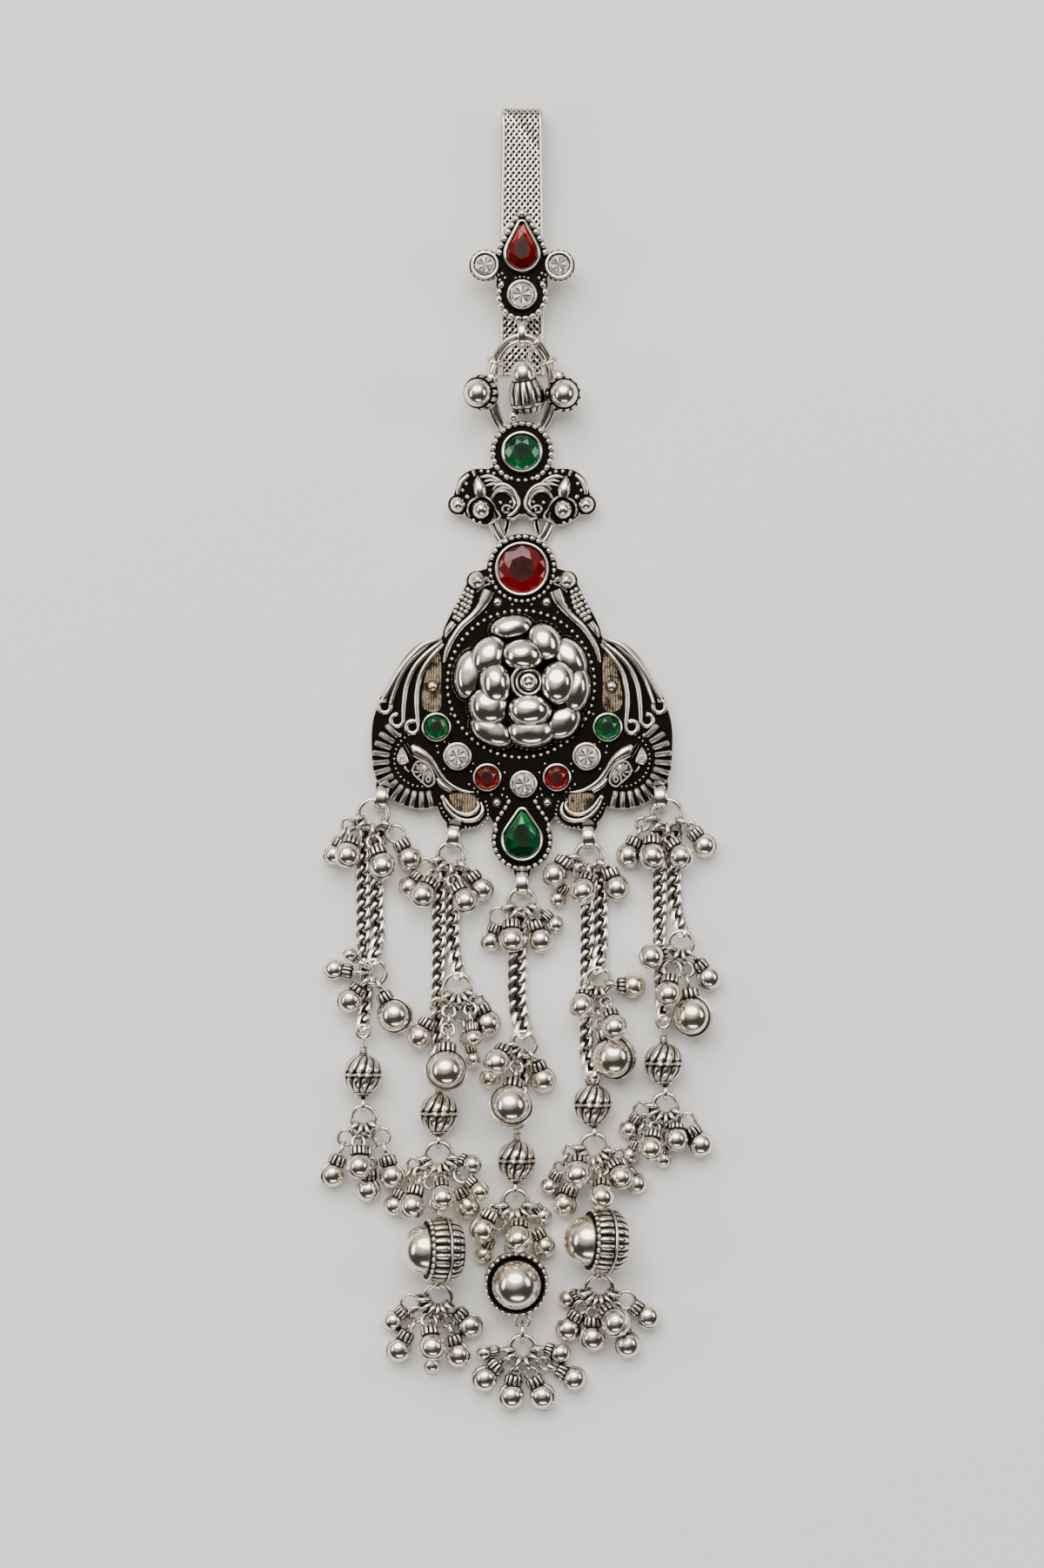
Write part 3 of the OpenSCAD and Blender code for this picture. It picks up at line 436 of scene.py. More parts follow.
def beadStretch(tree, source):
    # a little uneven, as cast beads are
    least = mathNode(tree, "SUBTRACT", 1.0, source["Unevenness"])
    limits = {2: least, 3: 1.0, "Seed": source["Seed"]}
    vary = addNode(tree, "FunctionNodeRandomValue", limits, data_type="FLOAT")
    size = mathNode(tree, "MULTIPLY", vary.outputs[1], source["Size"])
    long = mathNode(tree, "MULTIPLY", size, source["Stretch"])
    return addNode(tree, "ShaderNodeCombineXYZ", {"X": long, "Y": size, "Z": size}).outputs["Vector"]


def linkStretch(tree, source):
    # as wide as each line's "girth"
    girth = namedValue(tree, "girth")
    return addNode(tree, "ShaderNodeCombineXYZ", {"X": 1.0, "Y": girth, "Z": 1.0}).outputs["Vector"]


def buildPointTree():
    # the part stands on each point, turned and stretched as the point says
    tree, source = newTree("partsOnPoints", "GeometryNodeTree", partInputs, [("Geometry", "Geometry")])
    zWay, xWay, stretch = (namedValue(tree, name, "FLOAT_VECTOR") for name in ("zWay", "xWay", "stretch"))
    return setParts(tree, source, source["Geometry"], "ZX", (zWay, xWay), stretch)


def runTree(tree, source, values):
    # what the tree makes of a mesh, as a shape
    holder = inScene("treeSource", source)
    modifier = holder.modifiers.new("build", "NODES")
    modifier.node_group = tree
    for item in tree.interface.items_tree:
        if item.in_out == "INPUT" and item.name in values:
            modifier[item.identifier] = values[item.name]
    depsgraph = bpy.context.evaluated_depsgraph_get()
    made = bpy.data.meshes.new_from_object(
        holder.evaluated_get(depsgraph), preserve_all_data_layers=True, depsgraph=depsgraph
    )
    shape = readShape(made)
    bpy.data.objects.remove(holder)
    bpy.data.meshes.remove(source)
    bpy.data.meshes.remove(made)
    return shape


def readFlat(rows, name, wide, kind):
    flat = np.empty(len(rows) * wide, kind)
    rows.foreach_get(name, flat)
    return flat


def readShape(mesh):
    kept = mesh.attributes.get("patinaAndShade")
    return {
        "verts": readFlat(mesh.vertices, "co", 3, np.float32).reshape(-1, 3),
        "loops": readFlat(mesh.loops, "vertex_index", 1, np.int32),
        "sizes": readFlat(mesh.polygons, "loop_total", 1, np.int32),
        "patinaAndShade": readFlat(kept.data, "value", 1, np.float32) if kept else np.zeros(len(mesh.vertices)),
    }


def writeMesh(name, shape, scale=1.0):
    mesh = bpy.data.meshes.new(name)
    verts = np.asarray(shape["verts"], np.float32) * scale
    loops, sizes = (np.asarray(shape[key], np.int32) for key in ("loops", "sizes"))
    mesh.vertices.add(len(verts))
    mesh.vertices.foreach_set("co", verts.reshape(-1))
    mesh.loops.add(len(loops))
    mesh.loops.foreach_set("vertex_index", loops)
    mesh.polygons.add(len(sizes))
    mesh.polygons.foreach_set("loop_start", (np.cumsum(sizes) - sizes).astype(np.int32))
    for key, domain in (("patinaAndShade", "POINT"), ("facetLight", "FACE")):
        if key in shape:
            values = np.asarray(shape[key], np.float32)
            mesh.attributes.new(key, "FLOAT", domain).data.foreach_set("value", values)
    mesh.update(calc_edges=True)
    mesh.validate()
    return mesh


def lineMesh(lines, attributes):
    # lines: (points, closed); attributes: name to a list of values, one for each line or point
    verts, edges, count = [], [], 0
    values = {name: [] for name in attributes}
    for k, (points, closed) in enumerate(lines):
        n = len(points)
        verts.extend(map(tuple, points))
        edges.extend((count + i, count + (i + 1) % n) for i in range(n if closed else n - 1))
        for name, given in attributes.items():
            values[name].extend(np.broadcast_to(given[k], n))
        count += n
    mesh = bpy.data.meshes.new("lines")
    mesh.from_pydata(verts, edges, [])
    for name, flat in values.items():
        mesh.attributes.new(name, "FLOAT", "POINT").data.foreach_set("value", np.array(flat, np.float32))
    return mesh


wireTree = buildWireTree()
beadTree = buildLineTree("beadRows", [
    ("Pitch", "Float", 1.3), ("Size", "Float", 0.45), ("Stretch", "Float", 1.1), ("Unevenness", "Float", 0.1),
    ("Seed", "Int", 3),
], beadStretch)
chainTree = buildLineTree("ropeChains", [("Pitch", "Float", 2.15)], linkStretch)
pointTree = buildPointTree()
materials = {}
triangles = []
smoothUpTo = math.radians(48)


class Piece:
    # collects the shapes of one piece and makes it one object
    def __init__(self, name, slot, *nodes):
        self.name, self.slot, self.nodes = name, slot, nodes
        self.parts = []
        self.lines = {}
        self.points = {}

    def add(self, shape, material, origin=(0, 0, 0), axes=None, scale=1.0, sharp=False):
        self.parts.append((moved(shape, origin, axes, scale), material, sharp))

    def addBoth(self, shape, material):
        self.add(shape, material)
        self.add(mirrored(shape), material)

    def grow(self, tree, source, material, **values):
        self.parts.append((runTree(tree, source, {"Material": materials[material], **values}), material, False))

    def wire(self, points, radius, material, closed=False, sides=8, both=False):
        points = np.asarray(points, float)
        for side in (1, -1) if both else (1,):
            self.lines.setdefault((material, sides), []).append((points * [side, 1, 1], closed, radius))

    def ring(self, c, r, wire, zWay=(0, 0, 1), steps=20, sides=8, material="wireSilver"):
        around = atHeight(circleAt((0, 0), r, steps)(0), 0)
        self.wire(around @ axesFor(zWay).T + np.asarray(c, float), wire, material, True, sides)

    def place(self, part, material, point, zWay=(0, 0, 1), xWay=(1, 0, 0), stretch=(1, 1, 1)):
        # one of the small parts, set by a tree when the piece is finished
        self.points.setdefault((part, material), []).append((point, zWay, xWay, stretch))

    def beads(self, outline, z, size, pitch, stretch, seed, both=True, closed=False, material="reliefSilver"):
        # a row along an outline, and its mirror image where both is true
        line = atHeight(outline, z)
        lines = [(line * [side, 1, 1], closed) for side in ((1, -1) if both else (1,))]
        self.grow(beadTree, lineMesh(lines, {}), material, Part=parts["bead"], Pitch=pitch, Size=size,
                  Stretch=stretch, Seed=seed)

    def gather(self):
        for (material, sides), rows in self.lines.items():
            source = lineMesh([r[:2] for r in rows], {"wire": [r[2] for r in rows]})
            self.grow(wireTree, source, material, Sides=sides)
        for (part, material), rows in self.points.items():
            source = bpy.data.meshes.new("places")
            source.from_pydata([r[0] for r in rows], [], [])
            for k, name in ((1, "zWay"), (2, "xWay"), (3, "stretch")):
                flat = np.array([r[k] for r in rows], np.float32).reshape(-1)
                source.attributes.new(name, "FLOAT_VECTOR", "POINT").data.foreach_set("vector", flat)
            self.grow(pointTree, source, material, Part=parts[part])

    def finish(self):
        self.gather()
        used = list(dict.fromkeys(material for _, material, _ in self.parts))
        whole = joinShapes([shape for shape, _, _ in self.parts])
        mesh = writeMesh(self.name, whole, mm)
        counts = [len(shape["sizes"]) for shape, _, _ in self.parts]
        index = np.repeat([used.index(material) for _, material, _ in self.parts], counts)
        for material in used:
            mesh.materials.append(materials[material])
        mesh.polygons.foreach_set("material_index", index.astype(np.int32))
        mesh.set_sharp_from_angle(angle=smoothUpTo)
        smooth = np.repeat([not sharp for _, _, sharp in self.parts], counts)
        mesh.polygons.foreach_set("use_smooth", smooth & (whole.get("flat", np.zeros(len(smooth))) < 0.5))
        made = inScene(self.name, mesh)
        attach(made, "root")
        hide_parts(*self.nodes)
        triangles.append(int(np.sum(whole["sizes"] - 2)))


# Finishes

silverLooks = {
    # metal, tarnish, depth of the black where the surface is shut in (patina and painted shade), blotches,
    # roughness, bump in mm
    "petalSilver": [(0.87, 0.815, 0.72), (0.008, 0.007, 0.006), 1.9, 0.22, 0.15, 0.03],
    "domeSilver": [(0.85, 0.785, 0.69), (0.02, 0.017, 0.013), 1.1, 0.2, 0.19, 0.012],
    "reliefSilver": [(0.81, 0.755, 0.66), (0.007, 0.006, 0.005), 1.25, 0.25, 0.2, 0.03],
    # nearly black, for the fillers that paint shade in gaps
    "shadeFillSilver": [(0.03, 0.027, 0.023), (0.006, 0.005, 0.004), 1.2, 0.5, 0.42, 0.06],
    "wireSilver": [(0.8, 0.745, 0.655), (0.016, 0.014, 0.011), 1.25, 0.28, 0.19, 0.02],
    "chainSilver": [(0.76, 0.705, 0.61), (0.006, 0.005, 0.004), 1.75, 0.3, 0.21, 0.02],
    "wovenSilver": [(0.76, 0.71, 0.62), (0.008, 0.007, 0.005), 1.7, 0.2, 0.24, 0.03],
}
gemLooks = {
    # deep colour, lit colour, flash: the glass painted dark, lit and glinting, as each facet's painted light
    # picks
    "redGlass": [(0.012, 0.0006, 0.001), (0.16, 0.0022, 0.003), (0.34, 0.025, 0.02)],
    "greenGlass": [(0.0004, 0.008, 0.003), (0.001, 0.09, 0.02), (0.02, 0.27, 0.065)],
    "clearGlass": [(0.03, 0.028, 0.026), (0.48, 0.465, 0.44), (0.98, 0.97, 0.945)],
}
gemShine = {"Metallic": 0.25, "Roughness": 0.1, "IOR": 1.45, "Coat Weight": 0.2, "Coat Roughness": 0.03}


def buildPatinaShadeGroup():
    # blackened hollows, as patina and as painted shade where nearby surfaces shut them in, and rubbed high
    # places, with fine marks in the metal
    inputs = [("Metal", "Color"), ("Tarnish", "Color")]
    inputs += [(label, "Float") for label in ("Depth", "Blotches", "Rough")]
    outputs = [("Color", "Color"), ("Roughness", "Float"), ("Height", "Float")]
    tree, source = newTree("silverPatinaShade", "ShaderNodeTree", inputs, outputs)
    coords = objectCoords(tree)
    hollow = addNode(tree, "ShaderNodeAmbientOcclusion", {"Distance": 1.1 * mm}, samples=6, only_local=True)
    broad = noiseNode(tree, coords, 260.0, 3.0, 0.6)
    fine = noiseNode(tree, coords, 1500.0, 4.0, 0.6)
    # patina and painted shade: darker where the ambient occlusion node finds nearby surfaces
    closed = mathNode(tree, "MULTIPLY", mathNode(tree, "SUBTRACT", 1.0, hollow.outputs["AO"]), source["Depth"])
    marked = mathNode(tree, "MULTIPLY", pointValue(tree, "patinaAndShade"), 0.85)
    spread = sumOf(tree, swing(tree, broad, source["Blotches"]), swing(tree, fine, 0.35))
    mask = rangeNode(tree, sumOf(tree, closed, marked, spread), 0.12, 0.62)
    dull = mathNode(tree, "MULTIPLY", mask, 0.32)
    addNode(tree, "NodeGroupOutput", {
        "Color": mixColour(tree, mask, source["Metal"], source["Tarnish"]),
        "Roughness": sumOf(tree, source["Rough"], dull, swing(tree, fine, 0.12), clamp=True),
        "Height": sumOf(tree, mathNode(tree, "MULTIPLY", broad, 0.6), mathNode(tree, "MULTIPLY", fine, 0.4)),
    })
    return tree


def newMaterial(name, numbers):
    made = bpy.data.materials.new(name)
    made.use_nodes = True
    materials[name] = made
    tree = made.node_tree
    return tree, fill(tree, tree.nodes["Principled BSDF"], numbers)


def makeSilver():
    patina = buildPatinaShadeGroup()
    for name, (metal, tarnish, depth, blotches, rough, bump) in silverLooks.items():
        tree, shader = newMaterial(name, {"Metallic": 1.0})
        group = addNode(tree, "ShaderNodeGroup", node_tree=patina)
        fill(tree, group, {"Metal": (*metal, 1), "Tarnish": (*tarnish, 1)})
        fill(tree, group, {"Depth": depth, "Blotches": blotches, "Rough": rough})
        colour, roughness, height = group.outputs
        raised = bumpNode(tree, height, bump, 0.5)
        fill(tree, shader, {"Base Color": colour, "Roughness": roughness, "Normal": raised})


def makeHatch():
    # the brown recesses, scored with fine lines
    tree, shader = newMaterial("scoredRecess", {"Metallic": 0.75, "Roughness": 0.45})
    coords = objectCoords(tree)
    numbers = {"Vector": coords, "Scale": 620.0, "Distortion": 4.0, "Detail": 4.0, "Detail Scale": 2.4}
    lines = addNode(tree, "ShaderNodeTexWave", numbers).outputs["Fac"]
    patches = rangeNode(tree, noiseNode(tree, coords, 520.0, 5.0, 0.7), 0.34, 0.62)
    mask = mathNode(tree, "MULTIPLY", rangeNode(tree, lines, 0.0, 1.0, 0.35, 1.0), patches, True)
    colour = mixColour(tree, rangeNode(tree, mask, 0.1, 0.75), (0.015, 0.011, 0.007, 1), (0.3, 0.235, 0.155, 1))
    fill(tree, shader, {"Base Color": colour, "Normal": bumpNode(tree, mask, 0.08, 1.0)})


def makeGems():
    for name, (deep, lit, flash) in gemLooks.items():
        tree, shader = newMaterial(name, gemShine)
        # each facet's painted light picks its colour: deep where dark, lit, and a painted flash of light on the
        # brightest
        drift = swing(tree, noiseNode(tree, objectCoords(tree), 420.0, 2.0, 0.5), 0.35)
        # painted shade darkens the middle of the table
        paintedDarkCentre = mathNode(tree, "MULTIPLY", pointValue(tree, "patinaAndShade"), 0.35)
        value = mathNode(tree, "SUBTRACT", mathNode(tree, "ADD", pointValue(tree, "facetLight"), drift), paintedDarkCentre)
        colour = mixColour(tree, rangeNode(tree, value, 0.0, 0.75), (*deep, 1), (*lit, 1))
        colour = mixColour(tree, rangeNode(tree, value, 0.72, 1.05), colour, (*flash, 1))
        fill(tree, shader, {"Base Color": colour})


def makeFloor():
    tree, shader = newMaterial("paleFloor", {"Roughness": floorLook["roughness"]})
    grain = rangeNode(tree, noiseNode(tree, objectCoords(tree), floorLook["grain"], 3.0, 0.5), 0.3, 0.7)
    pale = floorLook["colour"]
    dim = [c * floorLook["darker"] for c in pale]
    fill(tree, shader, {"Base Color": mixColour(tree, grain, (*dim, 1), (*pale, 1))})
    half = floorLook["size"] / 2
    mesh = bpy.data.meshes.new("floor")
    corners = [(-half, -half, 0), (half, -half, 0), (half, half, 0), (-half, half, 0)]
    mesh.from_pydata(corners, [], [(0, 1, 2, 3)])
    mesh.materials.append(materials["paleFloor"])
    inScene("floor", mesh)


makeCamera()
makeLights()
makeSilver()
makeHatch()
makeGems()
makeFloor()
print("camera, light and finishes are made")


# Small parts that are set many times, each of unit size

bell = {
    "domeReach": 0.91,  # radius of the polished dome, as a share of the bell's
    "domeRise": 0.97,
    "lipWidth": 0.15,
    "steps": 7,
    "segments": 26,
}
crown = {"ribs": 11, "groove": 0.17}
bigBell = {"lobes": 22, "groove": 0.05}
link = {"halfLength": 1.75, "halfWidth": 0.95, "wire": 0.5, "twist": 42, "flat": 0.8, "steps": 22, "sides": 7}


def partObject(name, shape):
    holder = inScene(name, writeMesh(name, shape))
    holder.hide_render = True
    return holder


def domeFrom(reach, base, top, steps):
    return domeRows(reach, base, top, 90 * np.arange(steps) / steps)


def ballBell():
    # two half shells: a dome each side of a raised lip
    lip = bell["lipWidth"]
    front = domeFrom(bell["domeReach"], lip + 0.03, bell["domeRise"], bell["steps"])
    back = [(r, -z) for r, z, *_ in front][::-1]
    edge = [
        (0.885, -lip, 1.0), (0.93, -lip * 0.95, 0.5), (0.99, -lip * 0.55), (1.0, 0), (0.99, lip * 0.55),
        (0.93, lip * 0.95, 0.3), (0.885, lip, 1.0),
    ]
    return lathe(back + edge + front, bell["segments"])


def largeBell():
    # smooth dome, double lip and a fluted back
    back = [(r, -z, 0, bigBell["groove"] * min(1, r * 2)) for r, z, *_ in domeFrom(0.93, 0.1, 0.97, 8)][::-1]
    edge = [
        (0.93, -0.04, 0.9), (0.99, -0.02), (1.0, 0.03), (0.985, 0.07), (0.93, 0.09, 0.9), (0.97, 0.12),
        (0.96, 0.17), (0.9, 0.2, 0.9),
    ]
    return lathe(back + edge + domeFrom(0.86, 0.2, 0.97, 9), ribs=bigBell["lobes"])


def crownShape():
    g = crown["groove"]
    return lathe([
        (0.72, 0, 0.9), (0.86, 0.02, 0.6), (0.97, 0.12, 0, g), (1.0, 0.3, 0, g), (0.98, 0.75, 0, g),
        (0.9, 0.93, 0, g * 0.7), (0.7, 1.0, 0.1), (0.45, 0.99, 0.7), (0, 1.04),
    ], ribs=crown["ribs"])


def linkShape():
    # one link of the rope chain, along x, its two sides turned out of the flat
    long, wide, flat = link["halfLength"], link["halfWidth"], link["flat"]
    turn = 2 * np.pi * np.arange(link["steps"]) / link["steps"]
    x = long * np.cos(turn)
    twist = np.radians(link["twist"]) * x / long
    y = wide * np.sin(turn) * np.cos(twist)
    z = wide * np.sin(turn) * np.sin(twist) * flat
    core = np.stack([x, y, z], -1)
    way = unit(np.roll(core, -1, 0) - np.roll(core, 1, 0))
    out = np.stack([x / long**2, y / wide**2, z * 0], -1)
    out = unit(out - (out * way).sum(1)[:, None] * way)
    up = np.cross(way, out)
    around = 2 * np.pi * (np.arange(link["sides"]) + 0.5) / link["sides"]
    rows = (
        core[:, None, :]
        + link["wire"] * np.cos(around)[None, :, None] * out[:, None, :]
        + link["wire"] * np.sin(around)[None, :, None] * up[:, None, :] * [1, 1, flat]
    )
    return gridShape(rows, closed=True)


def ribShape():
    # one bar of the fan, along x from 0 to 1, with a shallow groove down its top
    half = [(0.5, 0), (0.48, 0.55), (0.38, 0.92), (0.24, 1), (0.1, 0.78)]
    form = half + [(-u, v) for u, v in half[::-1]]
    start = [(0, 0.5, 0.5), (0.03, 0.8, 0.85), (0.1, 1, 1)]
    stations = start + [(0.5, 1, 1), (0.9, 1, 1), (0.97, 0.8, 0.85), (1, 0.5, 0.4)]
    rows = [[(x, u * wide, v * high) for u, v in form] for x, wide, high in stations]
    darkening = [0.8 if v == 0 else (0.15 if abs(u) < 0.2 else 0.0) for u, v in form]
    return gridShape(rows, patinaAndShade=np.tile(darkening, (len(rows), 1)))


parts = {
    "bead": partObject("beadPart", ballShape(5, 8)),
    "bell": partObject("bellPart", ballBell()),
    "bigBell": partObject("bigBellPart", largeBell()),
    "crown": partObject("crownPart", crownShape()),
    "link": partObject("linkPart", linkShape()),
    "rib": partObject("ribPart", ribShape()),
    "ball": partObject("ballPart", ballShape(8, 14)),
}
plate = {"bottom": 2.4, "top": 3.6, "hookBottom": 6.3, "hookTop": 7.5, "bezelRise": 1.3, "sink": 0.05}


# Cut stones

cuts = {
    # table and shoulder as shares of the girdle, where the table's edge turns, the facets' painted glow, its
    # sway and spread
    "star": (0.74, 0.88, 0.66, 0.74, 0.0, 0.4),
    "plain": (0.56, 0.82, 0.5, 0.52, 0.24, 0.17),
}
setting = {"seat": 0.12, "girdle": 0.95, "table": 1.75, "pearMiddle": 0.22, "inside": 0.1}


def cutStone(outline, centre, seat, girdle, table, seed, kind):
    # outline: sixteen points of the girdle; brilliant cut above, plain below
    g = np.asarray(outline, float)
    c = np.asarray(centre, float)
    rng = random.Random(seed)
    tableShare, midShare, turnShare, level, sway, spread = cuts[kind]

    def ringOf(points, share, z):
        return atHeight(c + (points - c) * share, z)

    tableRing = ringOf(g[0::2], tableShare, table)
    midEdge = tableRing * (1 - turnShare) + np.roll(tableRing, -1, 0) * turnShare
    mid = ringOf(g[1::2], midShare, girdle + (table - girdle) * 0.55)
    edge, low, foot = ringOf(g, 1.0, girdle), ringOf(g, 1.0, girdle - 0.25), ringOf(g, 0.6, seat)
    verts = np.concatenate([tableRing, midEdge, mid, edge, low, foot, [[*c, table]]])
    t, e, m, r, w, f, top = 0, 8, 16, 24, 40, 56, 72  # where each ring starts
    faces, facetLight = [], []
    for i in range(8):
        n, p = (i + 1) % 8, (i - 1) % 8
        faces += [(t + i, m + i, t + n, e + i), (m + p, r + 2 * i, m + i, t + i)]
        faces += [(m + i, r + 2 * i, r + 2 * i + 1), (m + i, r + 2 * i + 1, r + (2 * i + 2) % 16)]
        faces += [(top, t + i, e + i), (top, e + i, t + n)]
        # painted light: light that enters from above leaves at the low edge, so the facets there are painted
        # brighter
        glow = level - sway * math.sin(2 * math.pi * i / 8)
        facetLight += [glow + rng.uniform(-spread, spread) for _ in range(4)]
        # the table's wedges are painted bright and dark, as reflections of the facets under it; a plain table is
        # painted dark
        if kind == "star":
            facetLight += [(1.1, 0.62, 1.0, 0.45)[i % 4], (0.02, 0.2)[i % 2]]
        else:
            facetLight += [rng.uniform(0.14, 0.3), rng.uniform(0.14, 0.3)]
    for k in range(16):
        n = (k + 1) % 16
        faces += [(w + k, w + n, r + n, r + k), (f + k, f + n, w + n, w + k)]
    faces.append(range(f + 15, f - 1, -1))
    # the girdle and the faces under it are painted dark, as shade
    facetLight += [0.1] * 33
    patinaAndShade = np.zeros(len(verts))
    # the table's centre is painted darker, as shade
    patinaAndShade[top] = 0.6
    return {
        "verts": verts,
        "loops": np.array([v for face in faces for v in face]),
        "sizes": np.array([len(face) for face in faces]),
        "patinaAndShade": patinaAndShade,
        "facetLight": np.array(facetLight),
    }


def evenPoints(outline, count):
    line = np.vstack([outline, outline[:1]])
    run = np.concatenate([[0], np.cumsum(np.linalg.norm(np.diff(line, axis=0), axis=1))])
    wanted = np.arange(count) / count * run[-1]
    return np.column_stack([np.interp(wanted, run, line[:, k]) for k in (0, 1)])


def setStone(node, colour, outlineAt, centre, base, seed):
    made = Piece(node + "_gem", colour + "_stone", node)
    kind = "star" if colour == "clear" else "plain"
    outline = evenPoints(outlineAt(-setting["inside"]), 16)
    heights = (base + setting[name] for name in ("seat", "girdle", "table"))
    made.add(cutStone(outline, centre, *heights, seed, kind), colour + "Glass", sharp=True)
    made.finish()


stones = {
    # node: colour, centre, radius, base
    "top_clear_left": ["clear", (-7.2, 96), 2.1, 7.5],
    "top_clear_right": ["clear", (7.2, 96), 2.1, 7.5],
    "top_clear_low": ["clear", (0, 90.2), 2.45, 7.5],
    "mid_green_stone": ["green", (0, 59.9), 3.5, 3.6],
    "main_red_stone": ["red", (0, 37.1), 4.7, 3.6],
    "main_green_left": ["green", (-16.7, 6.2), 2.4, 3.6],
    "main_green_right": ["green", (16.7, 6.2), 2.4, 3.6],
    "main_clear_left": ["clear", (-12.6, 0.5), 2.3, 3.6],
    "main_clear_right": ["clear", (12.6, 0.5), 2.3, 3.6],
    "main_clear_low": ["clear", (0.3, -4.9), 2.2, 3.6],
    "main_red_left": ["red", (-6.8, -3.6), 2.3, 3.6],
    "main_red_right": ["red", (6.8, -3.6), 2.3, 3.6],
}
pears = {
    # node: colour, centre of the round end, radius, rise, tip, base
    "top_red_pear": ["red", (0, 98.2), 3.1, 5.6, 0.5, 7.5],
    "main_green_pear": ["green", (0, -15.8), 3.6, 5.3, 0.6, 3.6],
}


def makeStones():
    for k, (node, (colour, c, r, base)) in enumerate(stones.items()):
        setStone(node, colour, circleAt(c, r, 64), c, base, 11 + k)
    for k, (node, (colour, c, r, rise, tip, base)) in enumerate(pears.items()):
        middle = (c[0], c[1] + rise * setting["pearMiddle"])
        setStone(node, colour, pearAt(c, r, rise, tip), middle, base, 41 + k)
    print("stones are set:", len(stones) + len(pears))


# The woven strap, bent over into the hook

strap = {
    "width": 8.2,
    "footWidth": 9.2,
    "thickness": 0.8,
    "gap": 4.6,
    "top": 127.2,
    "frontEnd": 92.0,
    "backEnd": 75.2,
    "core": (0.94, 0.08),  # share of the width, and half the thickness, of the dark band in the weave, a sheet of painted shade between its two faces
    "railWire": 0.5,
    "railLift": -0.1,
    "railSteps": 90,
    "weaveWire": 0.26,
    "weavePitch": 1.36,  # along the strap, between wires of one slant
    "weaveSlant": 1.28,
    "weaveStep": 0.22,
    "weaveReach": 0.9,
    "weaveLift": 0.07,
    "weaveWave": 0.065,
    "endWire": 0.35,
}
strapBend = strap["thickness"] + strap["gap"] / 2
strapMiddle = strapBend - strap["thickness"] / 2
backRun = strap["top"] - strapBend - strap["backEnd"]
bendRun = math.pi * strapMiddle
strapLength = backRun + bendRun + strap["top"] - strapBend - strap["frontEnd"]


def strapPoint(run, across, lift):
    # run is measured along the strap from the foot of its back leg; lift is off its middle, outwards
    half = strap["thickness"] / 2
    if run < backRun:
        y = strap["backEnd"] + run
        z = half - lift
    elif run < backRun + bendRun:
        a = (run - backRun) / strapMiddle
        y = strap["top"] - strapBend + (strapMiddle + lift) * math.sin(a)
        z = strapBend - (strapMiddle + lift) * math.cos(a)
    else:
        y = strap["top"] - strapBend - (run - backRun - bendRun)
        z = 2 * strapBend - half + lift
    share = (y - strap["frontEnd"]) / (strap["top"] - 2 * strapBend - strap["frontEnd"])
    wide = strap["footWidth"] + (strap["width"] - strap["footWidth"]) * min(max(share, 0), 1)
    return (across * wide / 2, y, z)


def weaveLines(face, slant):
    # the wires of one slant on one face, which pass over and under those of the other slant
    half = strap["width"] / 2
    reach = half * strap["weaveReach"]
    slope, pitch = strap["weaveSlant"], strap["weavePitch"]
    steps = int(2 * reach / strap["weaveStep"])
    for k in range(int((strapLength + 2 * reach * slope) / pitch)):
        line = []
        for across in (-reach + 2 * reach * s / steps for s in range(steps + 1)):
            run = k * pitch + slope * (slant * across - reach)
            if 0.1 < run < strapLength - 0.1:
                wave = slant * math.cos(2 * math.pi * slope * across / pitch)
                lift = face * (strap["weaveLift"] + strap["weaveWave"] * wave)
                line.append(strapPoint(run, across / half, lift))
        if len(line) > 2:
            yield line


def makeStrap():
    made = Piece("woven_strap_hook", "woven_strap", "hook_strap")
    runs = np.linspace(0, strapLength, strap["railSteps"])
    u, v = strap["core"]
    corners = ((u, -v), (u, v), (-u, v), (-u, -v))
    core = [[strapPoint(run, *corner) for corner in corners] for run in runs]
    # a black sheet between the weave's faces, painted shade in the gaps between its wires
    made.add(gridShape(core, patinaAndShade=1.0), "shadeFillSilver")
    inset = 1 - 2 * strap["railWire"] / strap["width"]
    for side in (-1, 1):
        rail = [strapPoint(run, side * inset, strap["railLift"]) for run in runs]
        made.wire(rail, strap["railWire"], "wovenSilver", sides=10)
    for face in (-1, 1):
        for slant in (-1, 1):
            for line in weaveLines(face, slant):
                made.wire(line, strap["weaveWire"], "wovenSilver", sides=5)
    for run in (strap["endWire"], strapLength - strap["endWire"]):
        made.wire([strapPoint(run, u, 0) for u in (-0.93, 0, 0.93)], strap["endWire"], "wovenSilver")
    made.finish()
    print("strap is woven")


# Strands of bells, as (turn on the ring, x, y, z, radius); rings as (x, y, z, radius, tilt)

